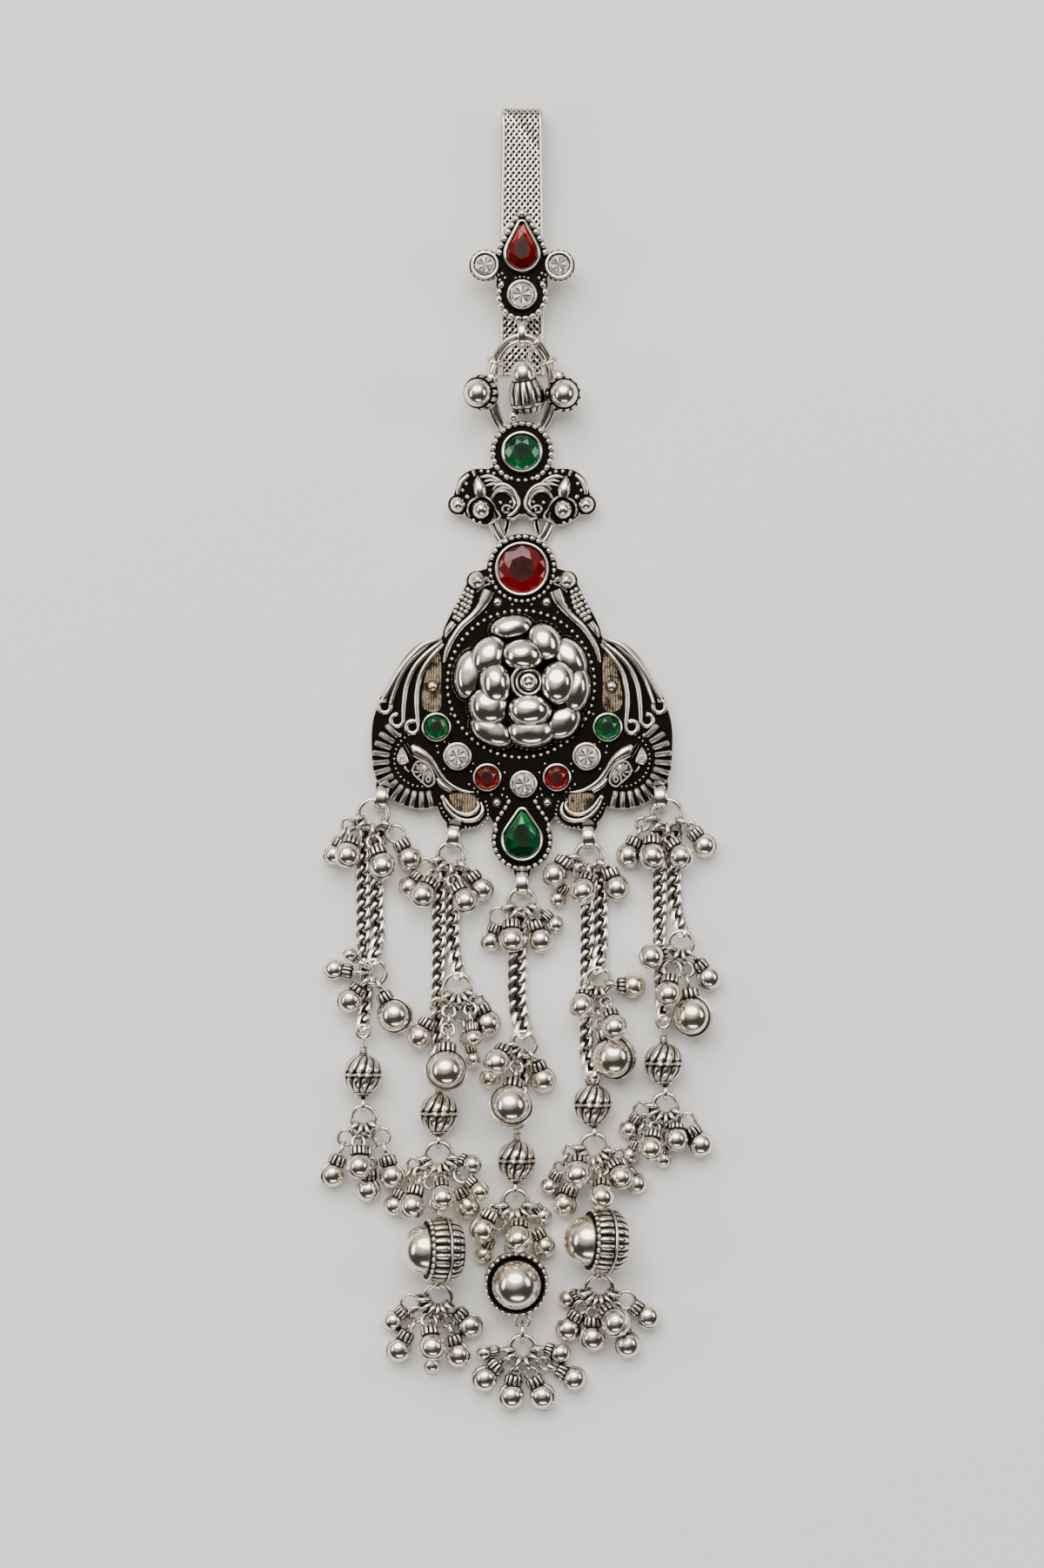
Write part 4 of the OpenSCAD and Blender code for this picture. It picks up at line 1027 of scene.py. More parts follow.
strands = {
    "strand_1": {
        "eyelet": (-26.9, -5.2, 257),
        "top": [(-29.1, -10.8, 2.65, 2.9, 0), [
            (194, -36.9, -18.6, 2.2, 2.1), (221, -34, -18.7, 6.5, 2.5), (268, -27.2, -20.8, 5.3, 2.65),
            (325, -22, -19.3, 2.6, 2.5)]],
        "mid": [(-28.9, -41.6, 3.5, 2.4, 0), [
            (180, -36.7, -41, 2.4, 2.15), (143, -33.6, -38, 5.4, 1.4), (225, -33.7, -47, 3.3, 2.5),
            (292, -24.8, -49.9, 3.6, 3.5)]],
        "low": [(-31, -70, 3.6, 2.3, 0), [
            (223, -37.2, -81.1, 2.7, 2.5), (256, -31.8, -79.3, 6, 2.5), (289, -30.1, -84.1, 2.5, 2.4),
            (324, -25.3, -81.3, 3.3, 2.55)]],
        "bead": [(-31, -61.5, 3.7), 4.9],
        "chains": [
            [(-30.6, -14.3, 2.4), (-30.9, -16.6, 1.4), (-31, -20, 0.9), (-31, -28, 0.9), (-31, -35.5, 0.9),
             (-30.4, -42, 0.9), (-30.6, -47.5, 0.9), (-30.9, -49.6, 2.4), (-31, -51.2, 3.5)],
            [(-27.5, -14.3, 2.4), (-28, -16.6, 1.4), (-28.4, -20, 0.9), (-28.4, -28, 0.9), (-28.2, -34, 0.9),
             (-28.5, -36.8, 2.4), (-28.8, -38.4, 3.2)]],
    },
    "strand_2": {
        "eyelet": (-13.1, -12.8, 261),
        "top": [(-13.9, -18.9, 2.65, 2.6, 0), [
            (195, -22.1, -24.9, 2.1, 2.05), (227, -19.4, -26.5, 6.4, 2.5), (272, -11, -27.6, 5.9, 2.5),
            (321, -7.8, -25.3, 2.6, 2.4)]],
        "mid": [(-12.6, -44.5, 3.5, 2.6, 0), [
            (219, -20, -54.1, 3.8, 2.45), (247, -14.8, -60.6, 8.4, 4.1), (277, -9.5, -58.6, 2.7, 1.7),
            (305, -9.5, -54.4, 5.8, 1.7), (334, -6.7, -51.6, 2.7, 2.6)]],
        "low": [(-16.3, -77.5, 3.6, 2.7, 0), [
            (190, -25, -87.2, 2.1, 2.05), (216, -21.4, -87, 6.2, 2.5), (275, -15.4, -85.3, 8.7, 2.5),
            (303, -10.6, -87.3, 2.6, 2.5), (329, -8.2, -84.1, 6.2, 1.9), (355, -9.7, -79, 4.8, 1.9)]],
        "bottom": [(-16.4, -105, 3.8, 2.6, 15), [
            (183, -25.2, -109.8, 2.1, 2.05), (214, -24.1, -115.3, 2.6, 2.5), (240, -17.5, -114.4, 7, 2.65),
            (268, -17.6, -118.4, 1.8, 1.7), (295, -12.4, -116.3, 3, 2.5), (322, -10.1, -110.6, 2.6, 2.5)]],
        "bead": [(-16.2, -69.1, 3.7), 4.5],
        "drum": [(-14.4, -95.6, 6.5), (-1, 0.02, 0.25), 248],
        "chains": [
            [(-15.5, -22.2, 2.4), (-16, -24.6, 1.3), (-16.2, -29, 0.9), (-16.2, -38, 0.9), (-16.4, -47, 0.9),
             (-16.6, -54, 0.9), (-16.4, -57, 2.4), (-16.2, -59.2, 3.5)],
            [(-12.2, -22.1, 2.4), (-12.9, -24.6, 1.3), (-13.6, -29, 0.9), (-13.4, -37, 0.9), (-13, -39.3, 2.4),
             (-12.6, -41, 3.2)]],
    },
    "strand_3": {
        "eyelet": (0, -21.9, 270),
        "top": [(-0.1, -27.8, 2.65, 2.5, 0), [
            (202, -6.2, -35.5, 2.1, 2.05), (239, -2, -35.2, 5.2, 2.5), (304, 3.6, -35.3, 2.9, 2.45),
            (335, 6.6, -32.2, 2.8, 1.7)]],
        "mid": [(0.4, -55.6, 3.5, 2.4, 0), [
            (182, -5, -59, 7.9, 2.6), (217, -6.3, -62.3, 2.6, 2.05), (248, -2.3, -67.5, 8.7, 4.3),
            (306, 4.1, -62.6, 2.6, 2.55)]],
        "low": [(-1.3, -86.6, 3.6, 2.5, 0), [
            (190, -7.8, -91.8, 5.2, 2.6), (223, -7.5, -96.7, 2, 1.9), (284, -0.7, -93.4, 8.2, 2.7),
            (314, 4.4, -95.2, 2.4, 2.3), (351, 4.1, -89.2, 2.1, 1.7)]],
        "bottom": [(0.1, -115.2, 2.8, 2.6, 0), [
            (182, -7.4, -116, 2.3, 1.5), (210, -7.3, -120.9, 2.7, 2.6), (252, -2.1, -124.5, 2.7, 2.6),
            (288, 4, -124.5, 2.7, 2.6), (326, 10.2, -121, 2.5, 2.4), (2, 7.5, -116, 2.6, 2.05)]],
        "bead": [(-1, -78.3, 3.7), 4],
        "chains": [
            [(-0.3, -31.2, 2.6), (-0.6, -33.8, 1.2), (-0.8, -38, 0.9), (-0.9, -46, 0.9), (-0.5, -50, 1),
             (0.2, -52.6, 3.3)],
            [(0.4, -58.6, 3), (0.2, -61, 1.6), (0, -64, 1.2), (-0.6, -67, 1.6), (-1, -68.6, 2.9)]],
    },
    "strand_4": {
        "eyelet": (12.9, -12.9, 273),
        "top": [(13.1, -19, 2.65, 2.6, 0), [
            (181, 6.3, -22.5, 3.9, 2.5), (223, 7, -27.3, 1.9, 1.7), (268, 11.8, -25.8, 6.7, 2.6),
            (331, 18.5, -25.1, 3.4, 2.5)]],
        "mid": [(15, -43.2, 3.5, 2.4, 0), [
            (220, 11.6, -48.1, 6.6, 2.5), (255, 18.1, -58.1, 4.5, 4.4), (288, 18, -52.1, 9.4, 2.5),
            (345, 21.8, -44.2, 2.5, 2.4)]],
        "low": [(14.1, -75.9, 3.6, 2.7, 0), [
            (179, 5.4, -83.5, 2, 1.9), (206, 10.8, -80.8, 8.6, 2.7), (232, 8.4, -86.9, 2.6, 2.5),
            (295, 15.4, -85, 10.6, 2.5), (322, 19.3, -81.4, 6.5, 2.4), (350, 22.4, -83, 2.1, 2.05)]],
        "bottom": [(15.1, -103.3, 3.8, 2.6, 15), [
            (195, 8.9, -105.5, 1.9, 1.7), (224, 9, -111.3, 2.5, 2.45), (252, 13.8, -113, 3.5, 2.6),
            (282, 18.3, -109.6, 7.6, 2.8), (312, 20.6, -114.4, 2.7, 2.6), (340, 24.6, -108.9, 2.5, 2.45)]],
        "bead": [(13.8, -67.4, 3.7), 1.6],
        "drum": [(17.2, -93.9, 6.5), (-1, 0.05, 0.3), 265],
        "chains": [
            [(11.3, -22.4, 2.4), (12.1, -25, 1.3), (12.8, -29, 0.9), (12.8, -38, 0.9), (12.7, -47, 0.9),
             (12.6, -54, 0.9), (12.6, -57.4, 0.9), (13, -59, 2.2), (13.4, -60.3, 3.4)],
            [(14.9, -22.3, 2.4), (15.4, -25, 1.3), (15.5, -29, 0.9), (15.5, -36, 0.9), (15.2, -38.3, 2.4),
             (15, -40, 3.2)]],
    },
    "strand_5": {
        "eyelet": (26.8, -5.1, 277),
        "top": [(28.4, -10.8, 2.65, 2.9, 0), [
            (193, 20.8, -18.8, 2.5, 2.4), (228, 25.4, -18.9, 5.3, 2.6), (271, 31.1, -18.9, 5.6, 2.4),
            (334, 35.7, -16.8, 2.5, 2.4)]],
        "mid": [(31, -36, 3.5, 2.4, 0), [
            (203, 25.1, -38.5, 6.7, 2.5), (248, 28.5, -45.7, 7.6, 2.5), (281, 33.4, -50.1, 4.6, 4.05),
            (314, 36.6, -42.7, 2.6, 2.5)]],
        "low": [(28, -67.7, 3.6, 2.4, 0), [
            (178, 20.9, -72.3, 2, 1.9), (209, 21.1, -77.4, 1.9, 1.7), (240, 25.1, -75.8, 6.4, 2.4),
            (271, 27.6, -78.2, 1.9, 1.7), (302, 30.1, -74.1, 4.8, 2.3), (333, 34.9, -75.2, 2.8, 2.5)]],
        "bead": [(27.6, -59.3, 3.7), 4.6],
        "chains": [
            [(26.9, -14.3, 2.4), (27, -16.8, 1.3), (27, -21, 0.9), (27, -30, 0.9), (27.1, -40, 0.9),
             (27.3, -46, 0.9), (27.5, -48, 2.4), (27.6, -49.3, 3.5)],
            [(30, -14.3, 2.4), (29.9, -16.8, 1.3), (29.8, -21, 0.9), (30, -28.5, 0.9), (30.5, -31, 2.4),
             (31, -32.7, 3.2)]],
    },
}
hanging = {
    "ringWire": 0.54,
    "loopWire": 0.5,
    "gripWire": 0.33,  # the loop's wire as the clearances have it
    "gripRing": 0.42,
    "play": 0.14,
    "sink": 0.08,
    "largestLoop": 1.3,
    "bareNeck": 1.1,
    "linkWire": 0.4,
    "linkPitch": 2.1,
    "linkOverlap": 0.32,
    "crownRise": 1.0,
    "crownMost": 1.5,
    "crownBase": 0.82,
    "crownWidth": 0.73,
    "bigCrownWidth": 0.5,
    "bigFrom": 3.4,
    "bellFull": 1.04,  # the scene's bells are this much larger than the solids' balls
    "lean": 34,
}


def onRing(ring, turn):
    # the point of a tilted ring at a turn, and the way along its wire there
    a, tilt = math.radians(turn), math.radians(ring[4])
    up, out = math.sin(a), math.cos(a)
    point = np.array(ring[:3]) + ring[3] * np.array([out, up * math.cos(tilt), up * math.sin(tilt)])
    return point, np.array([-up, out * math.cos(tilt), out * math.sin(tilt)])


def hangOn(made, ring, turn, body, reach, neckFrom):
    # the loop that holds a body to a ring's wire, and the neck that reaches down from it;
    # gives the way from the body to the loop's far point, and how far that is
    p, way = onRing(ring, turn)
    across = (body - p) - np.dot(body - p, unit(way)) * unit(way)
    spread = np.linalg.norm(across)
    grip = hanging["gripWire"] + hanging["gripRing"] + hanging["play"]
    top = reach - hanging["sink"]
    room = spread - math.sqrt(max(0.0, top**2 - np.dot(body - p, body - p) + spread**2))
    r = min(hanging["largestLoop"], (room + grip) / 2)
    c = p + unit(across) * (r - grip)
    far = c + unit(across) * r
    made.ring(c, r, hanging["loopWire"], way, 18)
    along = unit(far - body)
    start = neckFrom + hanging["crownMost"]
    room = np.linalg.norm(far - body) - start
    across = unit(np.cross(along, way))
    if room < hanging["bareNeck"]:
        made.wire([body + along * neckFrom, far], hanging["loopWire"], "wireSilver")
    else:
        # small rings instead of a long neck
        count = max(1, round(room / hanging["linkPitch"]))
        step = room / count
        for k in range(count):
            mid = body + along * (start + step * (k + 0.5))
            turned = across if (count - k) % 2 else np.cross(along, across)
            made.ring(mid, step / 2 + hanging["linkOverlap"], hanging["linkWire"], turned, 14)
    return along, np.linalg.norm(far - body)


def addBell(made, ring, row, rng):
    turn, body, r = row[0], np.array(row[1:4], float), row[4]
    along, far = hangOn(made, ring, turn, body, r + hanging["crownRise"], r)
    face = np.array([0, 0, 1.0]) - along[2] * along
    if np.linalg.norm(face) < 0.2:
        face = np.cross(along, [1, 0, 0])
    face = unit(face)
    side = np.cross(along, face)
    lean = math.radians(rng.uniform(-hanging["lean"], hanging["lean"]))
    face = math.cos(lean) * face + math.sin(lean) * side
    big = r > hanging["bigFrom"]
    full = r * hanging["bellFull"]
    body = insideBox(body, full)
    made.place("bigBell" if big else "bell", "domeSilver", body, face, along, (full, full, full))
    top = min(far - 0.1, r + hanging["crownMost"])
    base = r * hanging["crownBase"]
    wide = hanging["bigCrownWidth" if big else "crownWidth"] * r
    made.place("crown", "reliefSilver", body + along * base, along, side, (wide, wide, top - base))


def makeBells(node, ring, rows, seed):
    made = Piece(node + "_set", "bell_silver", node)
    tilt = math.radians(ring[4])
    made.ring(ring[:3], ring[3], hanging["ringWire"], (0, -math.sin(tilt), math.cos(tilt)), 28, 10)
    rng = random.Random(seed)
    for row in rows:
        addBell(made, ring, row, rng)
    made.finish()


# Rope chains

rope = {"pitch": 2.15, "core": 0.42, "reach": 1.2, "ends": 0.27, "wide": {"strand_3": 1.35}}


def makeChains(node, routes, firstGirth):
    made = Piece(node + "_links", "chain_silver", node)
    girths = [firstGirth, 1.0][: len(routes)]
    lines = []
    for route, girth in zip(routes, girths):
        p = insideBox(np.array(route, float), rope["reach"] * girth)
        p[0] += unit(p[0] - p[1]) * rope["ends"]
        p[-1] += unit(p[-1] - p[-2]) * rope["ends"]
        lines.append((smoothPath(p, 5), False))
        # a black core wire inside the links, painted shade in the gaps between them
        made.wire(lines[-1][0], rope["core"] * girth, "shadeFillSilver", sides=6)
    source = lineMesh(lines, {"girth": girths})
    made.grow(chainTree, source, "chainSilver", Part=parts["link"], Pitch=rope["pitch"])
    made.finish()


# Melon beads on their wires

melon = {
    "radius": 3.85,
    "full": 1.04,
    "lobes": 12,
    "perLobe": 6,
    "rows": 22,
    "reach": 78,  # degrees from the seam to the first and last row
    "leanUp": 0.38,
    "leanDown": 0.3,
    "groove": 0.1,
    "fullness": 0.86,
    "lobeFullness": 0.55,
    "seamWidth": 3.2,  # degrees
    "lineAt": 8,
    "lineWidth": 3,
    "loop": 1.2,
    "lift": 0.3,
    "capTop": 3.45,
    "shaftWire": 0.34,
}
coil = {"radius": 0.62, "wire": 0.26, "start": 3.75, "turns": 3, "perTurn": 10, "rise": 0.5}


def melonShape():
    n = melon["lobes"] * melon["perLobe"]
    step = np.arange(n)
    bulge = np.abs(np.sin(np.pi * (step % melon["perLobe"]) / melon["perLobe"])) ** melon["lobeFullness"]
    # the grooves are blackened as patina, and the lobes' flanks are painted darker as shade
    shade = np.where(bulge < 0.05, 1.0, np.where(bulge < 0.72, 0.35, 0.0))
    rows, darkening = [], []
    for v in np.linspace(-melon["reach"], melon["reach"], melon["rows"] + 1):
        turn = 2 * np.pi * step / n + math.radians(v * melon["leanUp" if v > 0 else "leanDown"])
        # a raised seam round the middle, between two dark lines
        seam = math.exp(-((v / melon["seamWidth"]) ** 2))
        off = (abs(v) - melon["lineAt"]) / melon["lineWidth"]
        cut = melon["groove"] * (1 - bulge) * (1 - seam)
        band = 1 + 0.02 * seam - 0.05 * math.exp(-(off**2))
        r = melon["radius"] * math.cos(math.radians(v)) ** melon["fullness"] * (1 - cut) * band
        height = np.full(n, melon["radius"] * math.sin(math.radians(v)))
        rows.append(np.stack([r * np.cos(turn), height, -r * np.sin(turn)], -1))
        darkening.append(shade * (1 - seam) + 0.7 * math.exp(-((off * 1.2) ** 2)))
    return gridShape(rows, patinaAndShade=np.array(darkening))


def makeMelon(node, place, ring, top):
    made = Piece(node + "_form", "bell_silver", node)
    x, y, z = p = insideBox(np.array(place, float), melon["radius"] * melon["full"])
    made.add(melonShape(), "domeSilver", p)
    topY = y + melon["capTop"] + top
    lowX, lowY = onRing(ring, 90)[0][:2] + [0, melon["lift"]]
    made.ring((x, topY, z), melon["loop"], hanging["loopWire"])
    made.ring((lowX, lowY, z), melon["loop"], hanging["loopWire"], (1, 0, 0))
    made.wire([(x, topY - melon["loop"], z), (x, lowY + melon["loop"], z)], melon["shaftWire"], "wireSilver")
    steps = np.arange(coil["turns"] * coil["perTurn"] + 1) / coil["perTurn"]
    around = x + coil["radius"] * np.cos(2 * np.pi * steps), z + coil["radius"] * np.sin(2 * np.pi * steps)
    wound = np.column_stack([around[0], y + coil["start"] + coil["rise"] * steps, around[1]])
    made.wire(wound, coil["wire"], "wireSilver", sides=6)
    cap = [(1.0, 3.3, 1), (1.75, 3.45, 0.6), (1.85, 3.75), (1.7, 4.15), (1.1, 4.3, 0.6), (0.6, 4.45), (0, 4.5)]
    made.add(lathe(cap, 20), "reliefSilver", p, axesFor((0, -1, 0)))
    made.finish()


# Flat bails through the eyelets

bail = {"radius": 2.6, "wall": 0.62, "width": 2.3, "z": 2.65, "cadWall": 0.55}


def bandHoop(r, wall, width):
    # one half of the section: inset as a share of the wall, place as a share of half the width, darkening
    outside = [(0.35, 1), (0.08, 0.72), (0, 0.3)]
    inside = [(0.8, 0.9, 0.4), (1, 0.55, 0.8)]
    rows = [(inset, -z, *darkening) for inset, z, *darkening in outside] + outside[::-1]
    rows += inside + [(inset, -z, *darkening) for inset, z, *darkening in inside[::-1]]
    profile = [(r - wall * inset, z * width / 2, *darkening) for inset, z, *darkening in rows]
    return wallAlong(circleAt((0, 0), 0, 32), profile)


def makeBail(node, eyelet):
    made = Piece(node + "_band", "ring_silver", node)
    a = math.radians(eyelet[2])
    way = np.array([math.cos(a), math.sin(a), 0])
    c = np.array([*eyelet[:2], bail["z"]]) + (bail["radius"] - bail["cadWall"] / 2) * way
    hoop = bandHoop(bail["radius"], bail["wall"], bail["width"])
    made.add(hoop, "wireSilver", c, axesFor(np.cross(way, [0, 0, 1]), way))
    made.finish()


# Domed drums

drum = {
    "ribs": 24,
    "groove": 0.42,
    "dome": 4.88,
    "domeBase": 4.4,
    "beads": 28,
    "beadRing": 5.95,
    "beadHeight": 4.15,
    "beadSize": (0.56, 0.4, 0.4),
    "sink": 0.32,
    "reach": 5.6,
    "neckFrom": 4.5,
    "footLoop": 1.2,
    "footPlay": 0.3,
    "footLift": 0.3,
    "footNeck": 3.5,
}


def drumShape(ribs, g):
    profile = [
        (0, -2.75), (1.8, -2.72), (2.9, -2.62), (3.1, -2.5, 0.9), (3.3, -2.58), (4.0, -2.57), (4.4, -2.48, 0.3),
        (4.85, -2.3, 1), (5.2, -2.1, 0, g * 0.6), (5.75, -1.5, 0, g), (6.05, -0.9, 0, g), (6.2, -0.2, 0, g),
        (6.15, 0.1, 0, g * 0.6), (6.0, 0.25, 1), (6.3, 0.35), (6.4, 0.55), (6.3, 0.75), (6.0, 0.85, 1),
        (6.18, 1.0, 0, g * 0.6), (6.3, 1.4, 0, g), (6.32, 2.2, 0, g), (6.2, 3.0, 0, g), (5.95, 3.7, 0, g),
        (5.6, 4.15, 0, g * 0.6), (5.45, 4.3, 0.8), (5.35, 4.1, 1), (5.1, 4.0, 1), (5.0, 4.3, 0.9),
    ]
    base, rise = drum["domeBase"], drum["dome"]
    return lathe(profile + domeRows(rise, base, base + rise, (3, *range(10, 83, 9)), 0.4), ribs=ribs)


def makeDrum(name, node, place, face, ring, turn, low=None):
    made = Piece(name, "bell_silver", node)
    c = np.array(place, float) - [0, 0, drum["sink"] if low is not None else 0]
    axes = axesFor(face, (0, 1, 0))
    made.add(drumShape(drum["ribs"], drum["groove"]), "domeSilver", c, axes)
    for k in range(drum["beads"]):
        a = 2 * math.pi * k / drum["beads"]
        out = np.array([math.cos(a), math.sin(a), 0])
        spot = c + axes @ (out * drum["beadRing"] + [0, 0, drum["beadHeight"]])
        made.place("bead", "domeSilver", spot, axes @ out, axes @ np.cross(out, [0, 0, 1]), drum["beadSize"])
    hangOn(made, ring, turn, c, drum["reach"], drum["neckFrom"])
    if low is not None:
        foot = onRing(low, 90)[0] + [0, drum["footPlay"], 0]
        made.ring(foot, drum["footLoop"], hanging["loopWire"], (1, 0, 0))
        neck = foot + [0, drum["footLoop"], drum["footLift"]]
        made.wire([neck, neck + unit(c - neck) * drum["footNeck"]], hanging["linkWire"], "wireSilver")
    return made


pendant = {
    "names": ("strand_3_domed_pendant", "strand_3_dome"),
    "place": (-1.1, -102.3, 2.76),
    "turn": 254,
    # the rings under it: centre, radius, wire
    "loop": [(0.1, -109.6, 3.4), 1.3, 0.42],
    "bail": [(0.1, -111.9, 3.1), 2.0, 0.47],
}


def makeStrands():
    for k, (strand, row) in enumerate(strands.items()):
        makeBail(strand + "_bail", row["eyelet"])
        for m, level in enumerate(("top", "mid", "low", "bottom")):
            if level in row:
                makeBells(f"{strand}_{level}_bells", *row[level], 10 * k + m)
        makeChains(strand + "_chain", row["chains"], rope["wide"].get(strand, 1.0))
        makeMelon(strand + "_melon_bead", row["bead"][0], row["low"][0], row["bead"][1])
        if "drum" in row:
            place, face, turn = row["drum"]
            names = strand + "_ribbed_drum", strand + "_drum"
            makeDrum(*names, place, face, row["low"][0], turn, row["bottom"][0]).finish()
        print(strand, "is strung")
    ring = strands["strand_3"]["low"][0]
    made = makeDrum(*pendant["names"], pendant["place"], (0, 0, 1), ring, pendant["turn"])
    made.ring(*pendant["loop"])
    made.finish()
    made = Piece("strand_3_bottom_bail_wire", "ring_silver", "strand_3_bottom_bail")
    made.ring(*pendant["bail"], (1, 0, 0), 26)
    made.finish()


# The two oval rings and the three domed bells on the upper one

ovals = {
    "upper_ring": {"y": 72.5, "halfWidth": 6.1, "halfHeight": 9.45, "rise": 0.27},
    "lower_ring": {"y": 50.3, "halfWidth": 6.2, "halfHeight": 9.3, "rise": 0.0},
}
ovalWire = {"low": 1.2, "apart": 0.58, "wire": 0.55}
domedBells = [
    # turn on the oval, place, way of the dome, place of its knob and its size
    (148, (-7.7, 71.3, 7.7), (-0.36, -0.1, 0.93), (-6.0, 74.0, 8.3)),
    (66, (0.8, 71.6, 5.6), None, None),
    (32, (7.9, 71, 6.3), (0.1, 0, 1), (7.2, 74.5, 6.5)),
]
domed = {"loop": 1.6, "neckWire": 0.34, "ribs": 14, "groove": 0.9, "scale": 0.56, "knob": (1.4, 1.4, 1.2)}
jar = {
    "way": (-0.16, 0.94, 0.27),
    "ribs": 13,
    "knob": (-1.7, 66.9, 5.4),
    "stem": (-0.4, 68.6, 5.5),
    "stemWire": 0.5,
}
jarRows = [
    # a ribbed pot under a smooth cap, up its own axis: radius, height, dark, depth of the ribs
    (0, -4.3), (1.6, -4.2, 0, 0.1), (2.8, -3.6, 0, 0.25), (3.2, -2.9, 0, 0.3), (3.3, -2.6, 0.9), (3.45, -2.4, 0),
    (3.5, -2.15, 0), (3.4, -1.95, 0.9), (3.5, -1.6, 0, 0.3), (3.55, -0.6, 0, 0.4), (3.4, 0.6, 0, 0.4),
    (3.0, 1.7, 0, 0.35), (2.6, 2.3, 0.2, 0.2), (2.4, 2.55, 1), (2.5, 2.8, 0), (2.55, 3.4, 0), (2.4, 4.4, 0),
    (1.95, 5.3, 0), (1.2, 6.0, 0), (0.5, 6.25, 0), (0, 6.3),
]


def ovalPoint(oval, turn, grow=0.0):
    a = math.radians(turn)
    return np.array([
        (oval["halfWidth"] + grow) * math.cos(a),
        oval["y"] + (oval["halfHeight"] + grow) * math.sin(a),
        ovalWire["low"] + oval["halfHeight"] * (1 + math.sin(a)) * oval["rise"],
    ])


def makeOvals():
    for node, oval in ovals.items():
        made = Piece(node + "_wires", "ring_silver", node)
        for side in (-1, 1):
            line = [ovalPoint(oval, 360 * k / 56, side * ovalWire["apart"]) for k in range(56)]
            made.wire(line, ovalWire["wire"], "wireSilver", True, 12)
        made.finish()
    oval = ovals["upper_ring"]
    made = Piece("upper_domed_bells", "bell_silver", "upper_bells")
    for turn, place, face, knob in domedBells:
        p, c = ovalPoint(oval, turn), np.array(place, float)
        way = ovalPoint(oval, turn + 1) - ovalPoint(oval, turn - 1)
        out = unit((c - p) - np.dot(c - p, unit(way)) * unit(way))
        made.ring(p, domed["loop"], hanging["loopWire"], way, 22)
        made.wire([c, p + domed["loop"] * out], domed["neckWire"], "wireSilver")
        if face is None:
            made.add(lathe(jarRows, ribs=jar["ribs"]), "domeSilver", c, axesFor(jar["way"]))
            made.place("ball", "domeSilver", jar["knob"])
            made.wire([jar["stem"], jar["knob"]], jar["stemWire"], "wireSilver")
        else:
            form = drumShape(domed["ribs"], domed["groove"])
            made.add(form, "domeSilver", c, axesFor(face, (0, 1, 0)), domed["scale"])
            made.place("ball", "domeSilver", knob, stretch=domed["knob"])
    made.finish()
    print("oval rings and domed bells are made")


# Plates: a flat sheet with eased edges, round holes and a blackened top


def lugArc(c, r, first, last, lug, lugRadius, half=False):
    # an arc about c that swells round a lug on its way
    reach = math.dist(c, lug)
    way = math.degrees(math.atan2(lug[1] - c[1], lug[0] - c[0])) % 360
    near = math.degrees(math.acos((r**2 + reach**2 - lugRadius**2) / (2 * r * reach)))
    swell = 180 - math.degrees(math.acos((lugRadius**2 + reach**2 - r**2) / (2 * lugRadius * reach)))
    lines = [arc(c, r, first, way - near, 14)]
    lines.append(arc(lug, lugRadius, way - swell, way if half else way + swell, 14)[1:])
    if not half:
        lines.append(arc(c, r, way + near, last, 18)[1:])
    return np.concatenate(lines)


def wholeOutline(*lines):
    # the lines make the left half from the top down; the right half is its mirror image
    left = np.concatenate(lines)
    line = np.concatenate([left, (left * [-1, 1])[::-1]])
    return line[np.linalg.norm(line - np.roll(line, 1, 0), axis=1) > 0.03]


def plateShape(outline, bottom, top, holes=(), holeRadius=1.15, ease=0.25, dark=1.0):
    line = np.asarray(outline, float)
    n, m = len(line), 16
    ahead = np.roll(line, -1, 0) - np.roll(line, 1, 0)
    out = unit(np.column_stack([ahead[:, 1], -ahead[:, 0]]))
    steps = [(ease * 0.8, bottom), (0, bottom + ease * 0.7), (0, top - ease), (ease * 0.3, top - ease * 0.3)]
    rows = [atHeight(line - out * inset, z) for inset, z in [*steps, (ease, top)]]
    shapes = [gridShape(rows, patinaAndShade=[0.1, 0.0, 0.0, 0.15, dark], caps=False)]
    # the rings of points round the top and the bottom face, and their numbers in the mesh
    faces = {-1: [(rows[0], np.arange(n))], 1: [(rows[-1], np.arange(n) + 4 * n)]}
    for k, c in enumerate(holes):
        turn = np.radians(360 - 360 / m * np.arange(m))
        flat = np.column_stack([c[0] + holeRadius * np.cos(turn), c[1] + holeRadius * np.sin(turn)])
        low, high = atHeight(flat, bottom), atHeight(flat, top)
        shapes.append(gridShape([low, high], patinaAndShade=[0.3, dark], caps=False))
        start = 5 * n + 2 * m * k
        faces[-1].append((low, np.arange(m) + start))
        faces[1].append((high, np.arange(m) + start + m))
    made = joinShapes(shapes)
    walls = len(made["sizes"])
    loops = [made["loops"]]
    for up in (1, -1):
        ids = np.concatenate([numbers for _, numbers in faces[up]])
        flat = np.concatenate([points for points, _ in faces[up]])[:, :2]
        for a, b, c in tessellate_polygon([[Vector((*p[:2], 0)) for p in points] for points, _ in faces[up]]):
            ab, ac = flat[b] - flat[a], flat[c] - flat[a]
            turned = (ab[0] * ac[1] - ab[1] * ac[0]) * up > 0
            loops.append(ids[[a, b, c] if turned else [a, c, b]])
    made["loops"] = np.concatenate(loops)
    made["sizes"] = np.concatenate([made["sizes"], np.full(len(loops) - 1, 3)])
    made["flat"] = (np.arange(len(made["sizes"])) >= walls).astype(float)
    return made


staple = {"wide": 1.8, "wall": 0.45, "high": plate["bottom"] + 0.15, "half": 0.8, "ease": 0.35}


